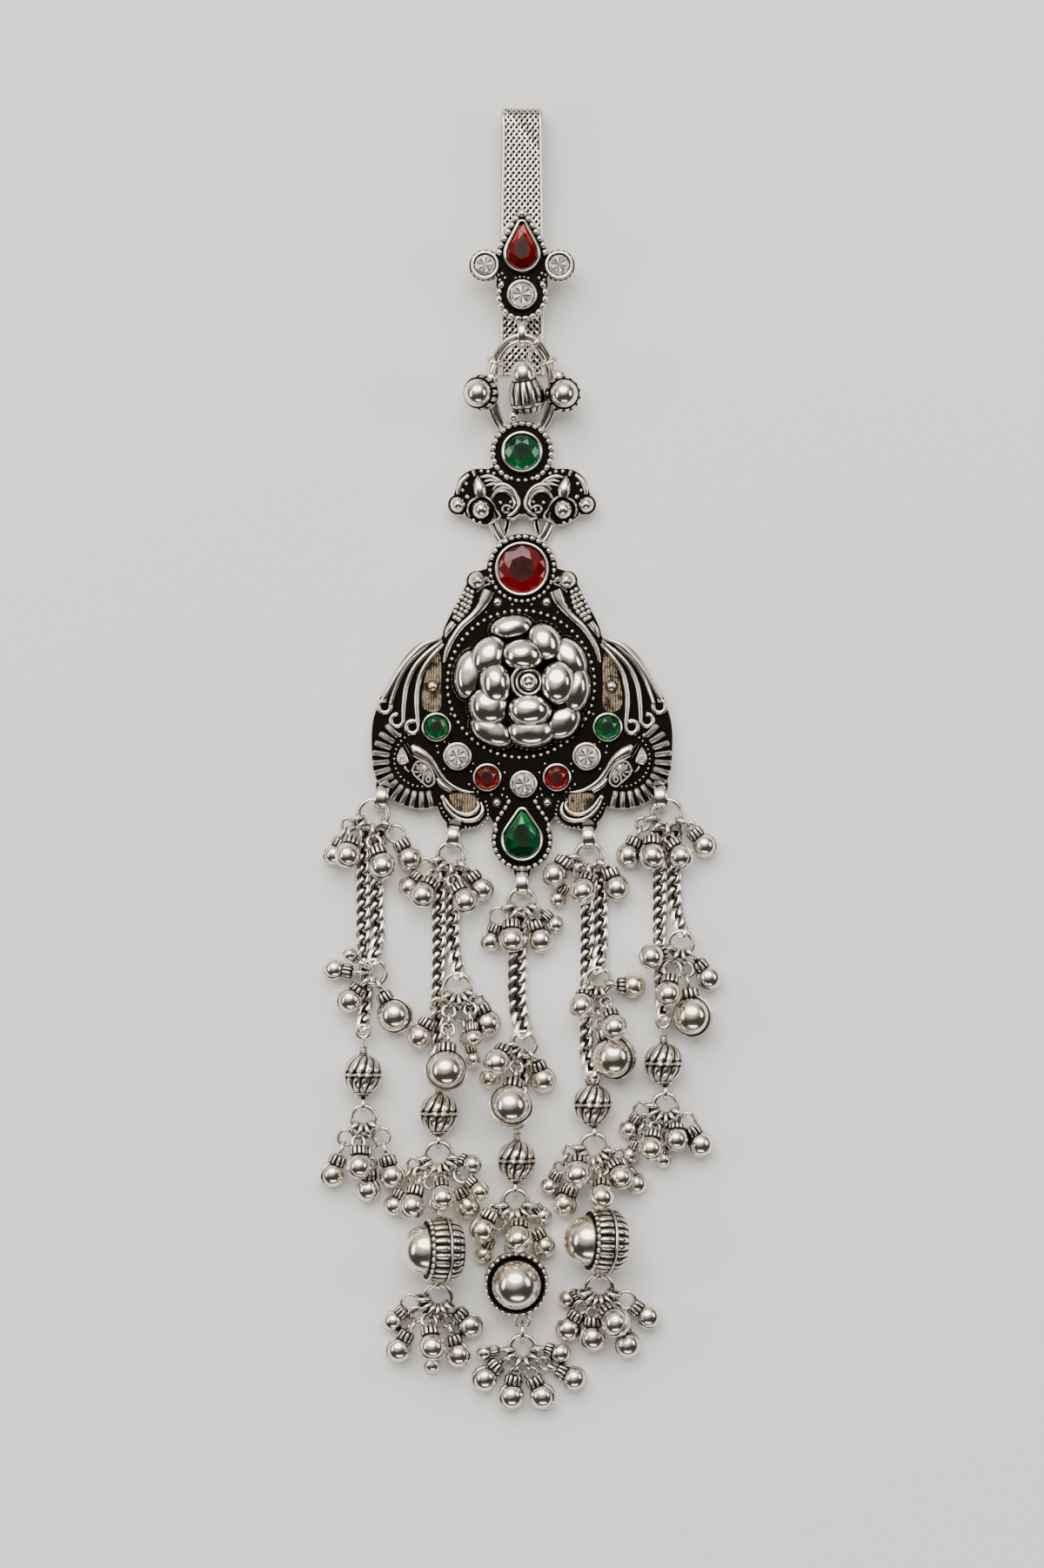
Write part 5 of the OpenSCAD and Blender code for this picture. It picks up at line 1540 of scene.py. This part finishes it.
def addStaple(made, y):
    # a strap bent under a plate, with the ring's wires through it, drawn in its own plane
    wide, wall, high, ease = staple["wide"], staple["wall"], staple["high"], staple["ease"]
    left = [(-wide, high), (-wide, ease), (ease - wide, 0)]
    inner = [(wide - wall, high), (wide - wall, wall + 0.15), (wide - wall - 0.15, wall)]
    outline = [*left, *((-x, z) for x, z in left[::-1]), *inner, *((-x, z) for x, z in inner[::-1])]
    form = plateShape(outline, -staple["half"], staple["half"], ease=0.1, dark=0.1)
    made.add(form, "reliefSilver", (0, y, 0), [[0, 0, 1], [1, 0, 0], [0, 1, 0]])


def addBezels(made, z, rows):
    # the walls round stones: node of the stone, thickness, steps round it
    rise = plate["bezelRise"]
    for node, wall, steps in rows:
        if node in pears:
            outlineAt = pearAt(*pears[node][1:5], steps)
        else:
            outlineAt = circleAt(*stones[node][1:3], steps)
        made.add(wallAlong(outlineAt, [
            (wall + 0.1, z - 0.1, 1.0), (wall + 0.04, z + 0.15, 0.8), (wall, z + rise * 0.75, 0.1),
            (wall * 0.85, z + rise * 0.96), (wall * 0.5, z + rise + 0.03), (wall * 0.12, z + rise * 0.93),
            (0, z + rise * 0.7, 0.3), (0, z, 0.9),
        ]), "reliefSilver")


def addStuds(made, z, rows):
    # x, y, then radius, rise, segments and collar, on both sides
    for x, y, *form in rows:
        for side in (-1, 1):
            made.add(studShape(*form), "domeSilver", (side * x, y, z))


def granules(made, spots, r, z):
    for x, y, *size in spots:
        s = size[0] if size else r
        for side in (-1, 1):
            made.place("bead", "reliefSilver", (side * x, y, z), stretch=(s, s, s * 0.9))


def addBeadRows(made, z, rows):
    # line, lift off the plate, then what beads() takes: size, pitch, stretch, seed, both sides
    for line, lift, *rest in rows:
        made.beads(line, z + lift, *rest)


# The top plaque

topPlate = {
    "tip": (0, 104.8),
    "pear": pears["top_red_pear"][1],
    "side": stones["top_clear_left"][1],
    "low": stones["top_clear_low"][1],
    "loop": (0, 82.8, 6.9),
    "loopBand": (2.85, 0.7, 1.75),  # radius, wall, width
}


def topOutline():
    top = arc(topPlate["tip"], 1.75, 90, 151, 7)
    side = arc(topPlate["pear"], 5.0, 151, 181, 8)
    lobe = arc(topPlate["side"], 3.15, 42, 318, 26)
    neck = smoothPath([(-4.9, 93.4), (-5.1, 92.6), (-5.1, 91.9)], 2)
    return wholeOutline(top, side, lobe, neck, arc(topPlate["low"], 5.1, 165, 270, 20))


def makeTopPlaque():
    made = Piece("top_plaque_dressed", "plaque_silver", "top_plaque")
    z = plate["hookTop"]
    pear, side, low = (topPlate[name] for name in ("pear", "side", "low"))
    made.add(plateShape(topOutline(), plate["hookBottom"], z, ease=0.2), "reliefSilver")
    addBezels(made, z, [
        ("top_red_pear", 0.6, 22), ("top_clear_left", 0.66, 32), ("top_clear_right", 0.66, 32),
        ("top_clear_low", 0.55, 36),
    ])
    left = np.concatenate([arc(topPlate["tip"], 1.2, 100, 151, 4), arc(pear, 4.45, 151, 176, 8)])
    addBeadRows(made, z, [
        (left, 0.25, 0.86, 1.36, 1.0, 5, True, False, "domeSilver"),
        (arc(side, 2.88, 48, 148, 14), 0.15, 0.46, 1.2, 1.15, 7),
        (arc(side, 2.88, 215, 312, 14), 0.1, 0.34, 0.95, 1.05, 8),
        (arc(low, 4.5, 153, 387, 40), 0.2, 0.66, 1.36, 1.4, 9, False),
        (arc(low, 3.55, 70, 110, 8), 0.1, 0.3, 0.8, 1.0, 4, False),
    ])
    made.place("ball", "domeSilver", (0, 106.1, z + 0.2), stretch=(0.95, 0.95, 0.9))
    granules(made, [(4.6, 94.2), (4.3, 93.2), (3.9, 94.5), (3.3, 93.6)], 0.32, z + 0.05)
    made.add(bandHoop(*topPlate["loopBand"]), "wireSilver", topPlate["loop"], axesFor((1, 0, 0), (0, 0, 1)))
    made.finish()


# The middle plaque, with a scrolled bird on each side

midPlate = {
    "stone": stones["mid_green_stone"][1],
    "beadRing": 5.65,
    # balls and studs: place, radius, rise, segments, collar
    "balls": [
        (-12.5, 49.7, 1.55, 2.325, 28, 0.14),
        (-7.95, 48.75, 1.95, 2.925, 28, 0.14),
        (2.2, 50.2, 0.35, 0.5, 10, 0.1),
    ],
    # strands of the scroll: points and width
    "scrolls": [
        ([(-5.7, 52.5), (-4.6, 53.6), (-3.1, 53.5), (-1.6, 52.4), (-0.75, 50.7), (-0.7, 49.4), (-1.6, 48.1),
          (-2.8, 47.5)], 0.62),
        ([(-5.9, 50.9), (-5.2, 52), (-4, 52.45), (-2.8, 52.1), (-1.85, 51.1), (-1.4, 49.9), (-1.9, 48.8)], 0.55),
        ([(-5.3, 52.3), (-4, 52.98), (-2.5, 52.6), (-1.4, 51.3)], 0.45),
        ([(-8.1, 55), (-6.4, 55.25), (-4.7, 54.5), (-3.6, 53.7)], 0.6),
        ([(-7.35, 54.2), (-6.1, 54.5), (-4.7, 54.1)], 0.5),
        ([(-7, 53.4), (-5.8, 53.75), (-4.6, 53.7)], 0.5),
        ([(-2.5, 48.2), (-3.4, 48.2), (-3.8, 48.9), (-3.25, 49.5), (-2.5, 49.35), (-1.9, 49)], 0.42),
        ([(-10.4, 55.5), (-11.7, 54.3), (-12.4, 52.8), (-12.45, 51.7)], 0.75),
        ([(-9.6, 56.3), (-9.2, 55.3)], 0.8),
        ([(-7.8, 51.3), (-9.9, 50.4), (-10.65, 48.8), (-10.1, 47.4)], 0.5),
        ([(-7.7, 51.4), (-6.2, 50.6), (-5.2, 49.1)], 0.5),
        ([(-5.3, 49), (-4.3, 47.4), (-5.2, 46.6), (-6.5, 45.9)], 0.45),
        ([(-5.5, 48.2), (-5.4, 47.2), (-6.2, 46.2)], 0.35),
        ([(-3, 47.1), (-1.7, 46.9), (-0.5, 47.6), (0, 47.5)], 0.5),
    ],
    "lift": 0.95,
    "widen": 1.35,
    "granules": [
        (-7.95, 56.2), (-6.6, 56.1), (-5.5, 55.75), (-10.9, 53.8), (-11.6, 52.5), (-10.7, 51.2, 0.55),
        (-4.2, 50.1), (-9.4, 46.7), (-8.2, 46.2), (-2.65, 48.75), (-11.2, 47.9, 0.3),
    ],
    "staples": (63.05, 59.6),
}


def midOutline():
    stone = arc(midPlate["stone"], 6.25, 90, 206, 26)
    wing = smoothPath([
        (-6.6, 56.75), (-8.8, 56.8), (-10.7, 56.2), (-12.4, 54.7), (-13.1, 52.6), (-13.4, 51.6),
    ], 3)
    ball = arc(midPlate["balls"][0][:2], 2.05, 115, 280, 14)
    low = smoothPath([
        (-11.2, 47.6), (-10.1, 46.8), (-8.2, 45.8), (-6, 45.9), (-4.6, 46.9), (-2.9, 46.7), (-1.2, 47.1),
        (0, 47.1),
    ], 3)
    return wholeOutline(stone, wing, ball, low)


def makeMidPlaque():
    made = Piece("middle_plaque_dressed", "plaque_silver", "mid_plaque")
    z = plate["top"]
    stone, ring = midPlate["stone"], midPlate["beadRing"]
    made.add(plateShape(midOutline(), plate["bottom"], z, ease=0.2), "reliefSilver")
    addBezels(made, z, [("mid_green_stone", 0.6, 44)])
    addBeadRows(made, z, [
        (arc(stone, ring, -58, 238, 60), 0.2, 0.64, 1.3, 1.25, 12, False),
        (arc(stone, ring - 0.2, 248, 292, 10), 0.2, 0.44, 1.25, 1.15, 3, False),
    ])
    for points, width in midPlate["scrolls"]:
        ends = (0, len(points) - 1)
        taper = [midPlate["widen"] * width * (0.7 if k in ends else 1) for k in range(len(points))]
        made.addBoth(leaf(points, taper, midPlate["lift"], "ridge", 5, z), "reliefSilver")
    body = [(-8.7, 55.3), (-8.55, 54), (-8.25, 52.6), (-8, 51.1)]
    made.addBoth(leaf(body, [0.5, 1.9, 2.6, 1.9], 1.7, "ridge", 6, z), "reliefSilver")
    addStuds(made, z, midPlate["balls"])
    granules(made, midPlate["granules"], 0.42, z + 0.25)
    tail = [(-2.75, 47), (-2.8, 46.1), (-3, 45), (-3.3, 43.9)]
    made.addBoth(leaf(tail, [0.6, 0.95, 0.95, 0.3], 0.9, "channel", 5, plate["bottom"] + 0.5), "reliefSilver")
    for y in midPlate["staples"]:
        addStaple(made, y)
    made.finish()


# The main plaque

mainPlate = {
    "redStone": stones["main_red_stone"][1],
    "pear": pears["main_green_pear"][1],
    "flower": (-0.2, 14.7),
    "flowerRing": 14.35,
    "eyelets": [row["eyelet"][:2] for row in strands.values()],
    "lug": 1.75,
    # the small stones, all in bezels of one kind
    "bezels": ["green_right", "green_left", "clear_right", "clear_left", "red_right", "red_left", "clear_low"],
    "studs": [
        (-4.8, 30.7, 0.88, 0.99, 18, 0.22),
        (-17.45, 14.2, 1.08, 1.17, 18, 0.22),
        (-4.95, -8.4, 0.76, 0.882, 18, 0.22),
    ],
    "granules": [
        (-23.9, 4.7, 0.5), (-9.6, -0.9), (-9.9, -2.4), (-4.5, -0.9), (-3.4, -2.6), (-15.2, 3.4), (-14.2, 2.9),
        (-10.3, -4.9), (-8.6, -6.4), (-3.6, -5.8), (-2.9, -7.4), (-3.9, -7), (-15.2, -1.9), (-16.4, 1.3),
        (-9.3, -5.7), (-16.6, 2.6), (-5.2, 33.6, 0.22), (-7, 28.7, 0.2), (-1.9, 30.2, 0.25),
        (-13.9, 8.8, 0.25), (-6, -6.9, 0.3),
    ],
    "staple": 41.0,
}
birds = {
    # leaves of the two birds and of the crescents: points, widths, height, section
    "neck": [[(-6.5, 32.9), (-7.2, 31.2), (-8, 29.8), (-9.6, 28), (-11.8, 26), (-13.4, 23.8), (-14.6, 21.4),
              (-15.2, 18.9)], [2.5, 2.3, 1.8, 1.4, 1.3, 1.2, 1.1, 0.6], 1.3, "ridge"],
    "collarBand": [[(-6.3, 34.2), (-7.5, 33.7), (-8.9, 32.6)], [0.6, 0.7, 0.5], 1.0, "round"],
    "beak": [[(-7.3, 35.4), (-6.4, 34.7), (-6.2, 34.1)], [1.4, 0.9, 0.3], 1.0, "round"],
    "shoulder": [[(-13.3, 26.6), (-14.3, 25.2), (-15, 23.8)], [1.5, 1.4, 0.4], 1.2, "round"],
    "fanNeck": [[(-22.7, 3), (-21.8, 1.5), (-21, 0)], [0.7, 0.85, 0.6], 1.0, "channel"],
    "fanBody": [[(-21.5, 2.6), (-20.5, 1.75), (-19, 0.75), (-17.6, -0.45), (-16.3, -2.4), (-14.8, -4.25),
                 (-12.6, -5.75), (-10.8, -6.3), (-9.4, -6.45)],
                [1.2, 2.3, 2.1, 1.5, 1.1, 0.95, 0.85, 0.65, 0.3], 1.4, "round"],
    "fanFlank": [[(-21.2, 0.7), (-20, 0), (-18.4, -0.75), (-17.2, -2), (-16.3, -3.5), (-15, -4.9), (-13, -6.1)],
                 [0.5, 0.7, 0.6, 0.55, 0.55, 0.5, 0.3], 1.2, "round"],
    "fanTail": [[(-16.6, -3.8), (-15.4, -5.2), (-13.8, -6.25)], [0.9, 1.3, 0.9], 0.9, "ridge"],
    "fanChin": [[(-22.9, -1.4), (-22.6, -2), (-22, -2.5)], [0.5, 0.6, 0.3], 0.7, "round"],
    "crescent": [[(-15.1, -7.5), (-14.6, -8.4), (-13.75, -9.45), (-12.6, -10.35), (-11.35, -10.75),
                  (-10.15, -10.7), (-9.15, -10.2), (-8.6, -9.35), (-8.55, -8.5), (-8.95, -7.9)],
                 [0.5, 0.8, 0.95, 1.05, 1.15, 1.2, 1.15, 0.95, 0.6, 0.4], 1.3, "round"],
    "crescentEdge": [[(-15.5, -7.7), (-15.1, -8.8), (-14.25, -10.05), (-12.95, -11.2), (-11.45, -11.85),
                      (-9.85, -11.9), (-8.4, -11.25), (-7.7, -9.8), (-8.05, -8.4)],
                     [0.4, 0.7, 0.85, 1.0, 1.15, 1.25, 1.2, 1.0, 0.4], 1.15, "round"],
    "crescentHook": [[(-8.3, -8.8), (-8.85, -8.4), (-8.75, -7.8), (-8.4, -7.7)],
                     [0.45, 0.4, 0.4, 0.35], 0.9, "round"],
}
wings = {
    # wires of the wing, from the shoulder to the curls: points and width
    "wires": [
        [[(-15.7, 23.6), (-19.2, 22.3), (-22.3, 19.3), (-24.6, 16.1), (-26.6, 12.6), (-27, 11.6)], 1.15],
        [[(-18, 22.6), (-21.7, 19.2), (-24, 15.6), (-25.5, 11.6), (-25.6, 10.6)], 1.0],
        [[(-15.6, 23.1), (-18.4, 20.8), (-20.9, 18.1), (-22.4, 14.9), (-23, 11.6), (-23.2, 7.4)], 1.15],
        [[(-15.4, 22.5), (-17.8, 19.8), (-19.6, 17), (-20.4, 14), (-20.6, 10.7), (-20.25, 6.5)], 1.15],
    ],
    # curls: centre and the turns between which the wire runs
    "curls": [[(-26.8, 10.3), 75, 395], [(-24.4, 7.6), 85, 360], [(-21.4, 6.3), 60, 380]],
    "curlRadius": 1.2,
    "curlWire": 0.47,
}
fan = {
    "centre": (-19.6, 0.0),
    "ribs": 13,
    "firstTurn": 136,
    "lastTurn": 282,
    "inner": 6.25,
    "outer": 9.7,
    "eyeletTurn": 217,
    "shortLength": 2.0,
    "ribWidth": 1.12,
    "dotRing": 5.35,
}
vaneWires = [
    # the wing laid on the fan: its edge and veins
    [(-21.3, -1.8), (-20.7, -0.7), (-19.6, -0.4), (-18.3, -1.2), (-17.4, -2.6), (-17.1, -4), (-17.5, -5),
     (-18.5, -5.3), (-19.3, -4.6), (-20, -4), (-20.9, -3.2), (-21.3, -2.4), (-21.3, -1.8)],
    [(-19.4, -4.4), (-19.1, -2.6), (-18.4, -1.5)],
    [(-20.5, -1), (-20.2, -2.1)],
    [(-19.8, -0.8), (-19.4, -2.1)],
    [(-21, -2.5), (-20.1, -2.5)],
    [(-20.4, -3.5), (-19.6, -2.9)],
    [(-18.9, -3.1), (-18.2, -2.2)],
    [(-18.8, -3.9), (-18.3, -3.4), (-17.9, -3.9), (-18.3, -4.5), (-18.8, -3.9)],
]


def mainOutline():
    eyelets, lug = mainPlate["eyelets"], mainPlate["lug"]
    wing = smoothPath([
        (-12.3, 31.5), (-14.3, 27.8), (-15.4, 25.3), (-15.7, 24), (-17.4, 23.6), (-20.2, 22.6), (-22.9, 20),
        (-25.3, 16.3), (-27.1, 13.2), (-28.2, 11.2), (-28.6, 9.6), (-29.2, 7.6), (-29.5, 4.6), (-29.45, 1.4),
    ], 3)
    return wholeOutline(
        arc(mainPlate["redStone"], 6.95, 90, 178, 16),
        arc((-8.9, 34.8), 2.05, 82, 195, 10),
        wing,
        lugArc(fan["centre"], 9.75, 187, 288.7, eyelets[0], lug),
        lugArc((-11.4, -8.6), 5.15, 187, 333, eyelets[1], lug),
        lugArc(mainPlate["pear"], 6.05, 150, 270, eyelets[2], lug, half=True),
    )


def addFan(made, z):
    c = fan["centre"]
    for turn in np.linspace(fan["firstTurn"], fan["lastTurn"], fan["ribs"]):
        a = math.radians(turn)
        near = abs(turn - fan["eyeletTurn"]) < 8
        length = fan["shortLength"] if near else fan["outer"] - fan["inner"]
        for side in (-1, 1):
            out = (side * math.cos(a), math.sin(a), 0)
            spot = (side * c[0] + fan["inner"] * out[0], c[1] + fan["inner"] * out[1], z - plate["sink"])
            made.place("rib", "reliefSilver", spot, (0, 0, 1), out, (length, fan["ribWidth"], 1.05))
    addBeadRows(made, z, [(arc(c, fan["dotRing"], 118, 292, 30), 0.1, 0.25, 0.95, 1.0, 21)])


def breastScales():
    # rows that widen towards the wing
    rng = random.Random(31)
    for row, count in enumerate((2, 3, 3, 4, 3, 3, 2)):
        share = row / 6
        centre = np.array([-10.1 - 2.6 * share, 32.9 - 5.4 * share])
        across = np.array([0.87, -0.49]) * (0.35 + 1.05 * math.sin(math.pi * (0.15 + 0.7 * share)))
        for k in range(count):
            offset = 2 * (k + 0.5) / count - 1 + rng.uniform(-0.08, 0.08)
            yield (*(centre + across * offset), rng.uniform(0.5, 0.62))


def addBirds(made, z):
    for points, widths, height, section in birds.values():
        made.addBoth(leaf(points, widths, height, section, 6, z - plate["sink"]), "reliefSilver")
    for side in (-1, 1):
        eye = (side * 23.35, 0.15, z + 0.95)
        made.add(studShape(1.72, 2.4, 28, 0.14), "domeSilver", (side * 8.75, 34.8, z))
        made.add(studShape(0.2, 0.35, 10, 0.22), "reliefSilver", (side * 9.15, 34.95, z + 2.2))
        made.ring(eye, 0.5, 0.16, steps=16, material="reliefSilver")
        made.place("ball", "reliefSilver", eye, stretch=(0.2, 0.2, 0.25))
        made.place("ball", "reliefSilver", (side * 15.5, -7.45, z + 0.5), stretch=(0.55, 0.55, 0.6))
    head = smoothPath([(-23.4, 2.45), (-24.1, 1.5), (-24.5, 0.2), (-24.15, -0.8), (-23.6, -1.15), (-22.7, -0.95),
                       (-22.1, -0.5), (-22.3, 0.6), (-22.8, 1.6)], 3, True)
    made.addBoth(plateShape(head, z - plate["sink"], z + 0.95, ease=0.35, dark=0.0), "reliefSilver")
    granules(made, breastScales(), 0.45, z + 0.35)
    for points in vaneWires:
        made.wire(smoothPath(atHeight(points, z + 0.72), 3), 0.27, "domeSilver", sides=6, both=True)
    vane = [(-21, -1.6), (-19.5, -2), (-18, -3.6), (-17.8, -4.9)]
    made.addBoth(leaf(vane, [1.6, 2.9, 2.6, 1.2], 0.75, "ridge", 5, z), "reliefSilver")


def addWings(made, z):
    for points, width in wings["wires"]:
        taper = [0.55 * width, *[width] * (len(points) - 2), 0.8 * width]
        made.addBoth(leaf(points, taper, 1.3, "ridge", 6, z - plate["sink"]), "reliefSilver")
    for c, first, last in wings["curls"]:
        curl = atHeight(arc(c, wings["curlRadius"], first, last, 22), z + 0.4)
        made.wire(curl, wings["curlWire"], "reliefSilver", both=True)


def addPatches(made, z):
    # scored recesses beside the wings and inside the crescents
    side = [(-16.3, 21), (-17.3, 19.6), (-18.6, 17.2), (-19.4, 14), (-19.5, 10.6), (-18.4, 9.4), (-16.6, 9.3),
            (-15.7, 10.8), (-15.8, 14.4), (-15.7, 18)]
    crescent = [(-14.2, -7), (-13.6, -8.6), (-12.3, -10), (-10.6, -10.5), (-9.3, -9.8), (-9, -8), (-9.4, -6.9),
                (-11.8, -6.6)]
    for outline in (side, crescent):
        patch = plateShape(smoothPath(outline, 4, True), z - 0.2, z + 0.06, ease=0.04, dark=0.0)
        made.addBoth(patch, "scoredRecess")


def mainBeads():
    stone = mainPlate["redStone"]
    neck = np.array([(-2.6, -8.3), (-3.2, -9.4), (-4.05, -10.6), (-4.9, -11.9), (-5.35, -13.2)])
    pearLine = np.concatenate([neck, arc(mainPlate["pear"], 5.45, 154, 386, 44), (neck * [-1, 1])[::-1]])
    lobe = smoothPath([
        (-7.1, -8.3), (-6.75, -9.5), (-6.65, -10.7), (-6.9, -11.9), (-7.6, -12.7), (-8.6, -13.2), (-9.9, -13.35),
        (-11, -13.3),
    ], 4)
    edge = smoothPath([(-16, -8.7), (-15.5, -10), (-14.6, -11.3), (-14.2, -11.8)], 4)
    return [
        (arc(stone, 6.2, -200, 20, 44), 0.15, 0.5, 1.15, 1.1, 2, False),
        (arc(stone, 6.35, 22, 158, 30), 0.2, 0.62, 1.3, 1.25, 6, False),
        (arc(mainPlate["flower"], mainPlate["flowerRing"], 0, 355, 90), 0.2, 0.46, 1.45, 1.0, 8, False, True),
        (pearLine, 0.2, 0.5, 1.3, 1.3, 10, False),
        (lobe, 0.05, 0.26, 0.78, 1.0, 14),
        (edge, 0.05, 0.24, 0.8, 1.0, 15),
    ]


def makeMainPlaque():
    made = Piece("main_plaque_dressed", "plaque_silver", "main_plaque")
    z = plate["top"]
    made.add(plateShape(mainOutline(), plate["bottom"], z, mainPlate["eyelets"]), "reliefSilver")
    addBezels(made, z, [("main_red_stone", 0.62, 56), ("main_green_pear", 0.6, 26)])
    addBezels(made, z, [("main_" + name, 0.5, 32) for name in mainPlate["bezels"]])
    addBeadRows(made, z, mainBeads())
    granules(made, mainPlate["granules"], 0.27, z + 0.08)
    addStuds(made, z, mainPlate["studs"])
    rim = atHeight(arc(mainPlate["redStone"], 6.75, 118, 166, 10), z - plate["sink"])
    made.wire(rim, 0.27, "reliefSilver", both=True)
    for addDetail in (addPatches, addWings, addBirds, addFan):
        addDetail(made, z)
    addStaple(made, mainPlate["staple"])
    made.finish()
    print("plaques are made")


# The flower in the middle

flower = {
    "base": 3.7,
    "centre": (0, 14.8),
    "button": (1.3, 15.0),
    "dent": 0.13,
    # x, y, half width, half height, turn, base, rise
    "petals": [
        (-2.0, 25.5, 4.8, 3.0, 8, 0, 3.5),
        (4.4, 22.6, 3.9, 4.6, 30, 0, 4.9),
        (9.3, 19.4, 3.6, 5.2, 30, 0, 4.1),
        (-6.4, 19.9, 4.1, 5.0, -35, 0, 5.2),
        (-10.1, 16.5, 3.6, 5.5, -10, 0, 3.8),
        (-6.3, 10.5, 4.8, 4.8, 20, 0, 4.9),
        (-5.9, 5.6, 5.1, 3.3, -28, 0, 3.5),
        (1.8, 5.6, 5.5, 3.9, 0, 0, 4.3),
        (7.9, 7.4, 3.7, 4.6, -45, 0, 3.8),
        (10.4, 13.6, 3.5, 5.3, -8, 0, 4.5),
        (0.1, 20.2, 4.7, 3.6, 0, 1.4, 4.7),
        (-5.1, 14.8, 3.7, 4.8, 5, 1.4, 4.7),
        (1.5, 9.6, 4.9, 3.8, 0, 1.4, 4.7),
        (6.9, 14.8, 4.1, 4.8, -5, 1.4, 4.7),
    ],
    "lip": {"radius": 3.25, "wire": 0.36, "height": 4.3},
}
petalRows = [
    # an oval dome inside a raised lip, of unit size: radius, height, darkening
    (1.0, 0, 1.0), (1.0, 0.26, 0.4), (0.99, 0.36), (0.965, 0.4), (0.94, 0.38, 0.15), (0.92, 0.34, 0.9),
    (0.905, 0.37, 0.9), (0.88, 0.46, 0.1), (0.8, 0.62), (0.68, 0.75), (0.55, 0.85), (0.4, 0.925), (0.2, 0.98),
    (0, 1.0),
]
buttonRows = [
    (2.75, 0, 1), (2.75, 4.0, 0.2), (2.65, 4.4), (2.4, 4.6), (2.15, 4.5), (2.0, 4.2, 0.8), (1.85, 4.15, 1),
    (1.7, 4.5, 0.3), (1.5, 4.75), (1.1, 4.8), (0.85, 4.72, 0.2), (0.75, 4.6, 0.9), (0.6, 4.75), (0.3, 4.9),
    (0, 4.92),
]


def petalShape(wide, high, rise, phase):
    # a little uneven, as beaten sheet is
    shape = moved(lathe(petalRows, 44), scale=(wide, high, rise))
    x, y, z = shape["verts"].T
    dent = flower["dent"] * np.sin(1.15 * x + phase) * np.sin(y - 1.7 * phase)
    shape["verts"][:, 2] += dent * np.clip(z / rise, 0, 1) ** 3
    return shape


def makeFlower():
    made = Piece("flower_petals", "polished_silver", "flower")
    z = flower["base"]
    ground = [(9, 0, 1), (9, 2.3, 1), (8.7, 2.6, 1), (0, 2.6, 1)]
    # a black disc under the petals, painted shade in the deep gaps between them
    made.add(lathe(ground, 40), "shadeFillSilver", (*flower["centre"], z))
    for k, (x, y, wide, high, turn, base, rise) in enumerate(flower["petals"]):
        axes = np.array(Matrix.Rotation(math.radians(turn), 3, "Z"))
        made.add(petalShape(wide, high, rise, 2.1 * k), "petalSilver", (x, y, z + base), axes)
    made.add(lathe(buttonRows, 36), "domeSilver", (*flower["button"], z))
    lip = flower["lip"]
    rolled = atHeight(arc(flower["button"], lip["radius"], 95, 250, 20), z + lip["height"])
    made.wire(rolled, lip["wire"], "wireSilver")
    made.finish()
    print("flower is made")


makeStrap()
makeTopPlaque()
makeOvals()
makeMidPlaque()
makeMainPlaque()
makeFlower()
makeStones()
makeStrands()
for part in parts.values():
    bpy.data.objects.remove(part)
print("triangles:", sum(triangles), "largest piece:", max(triangles))
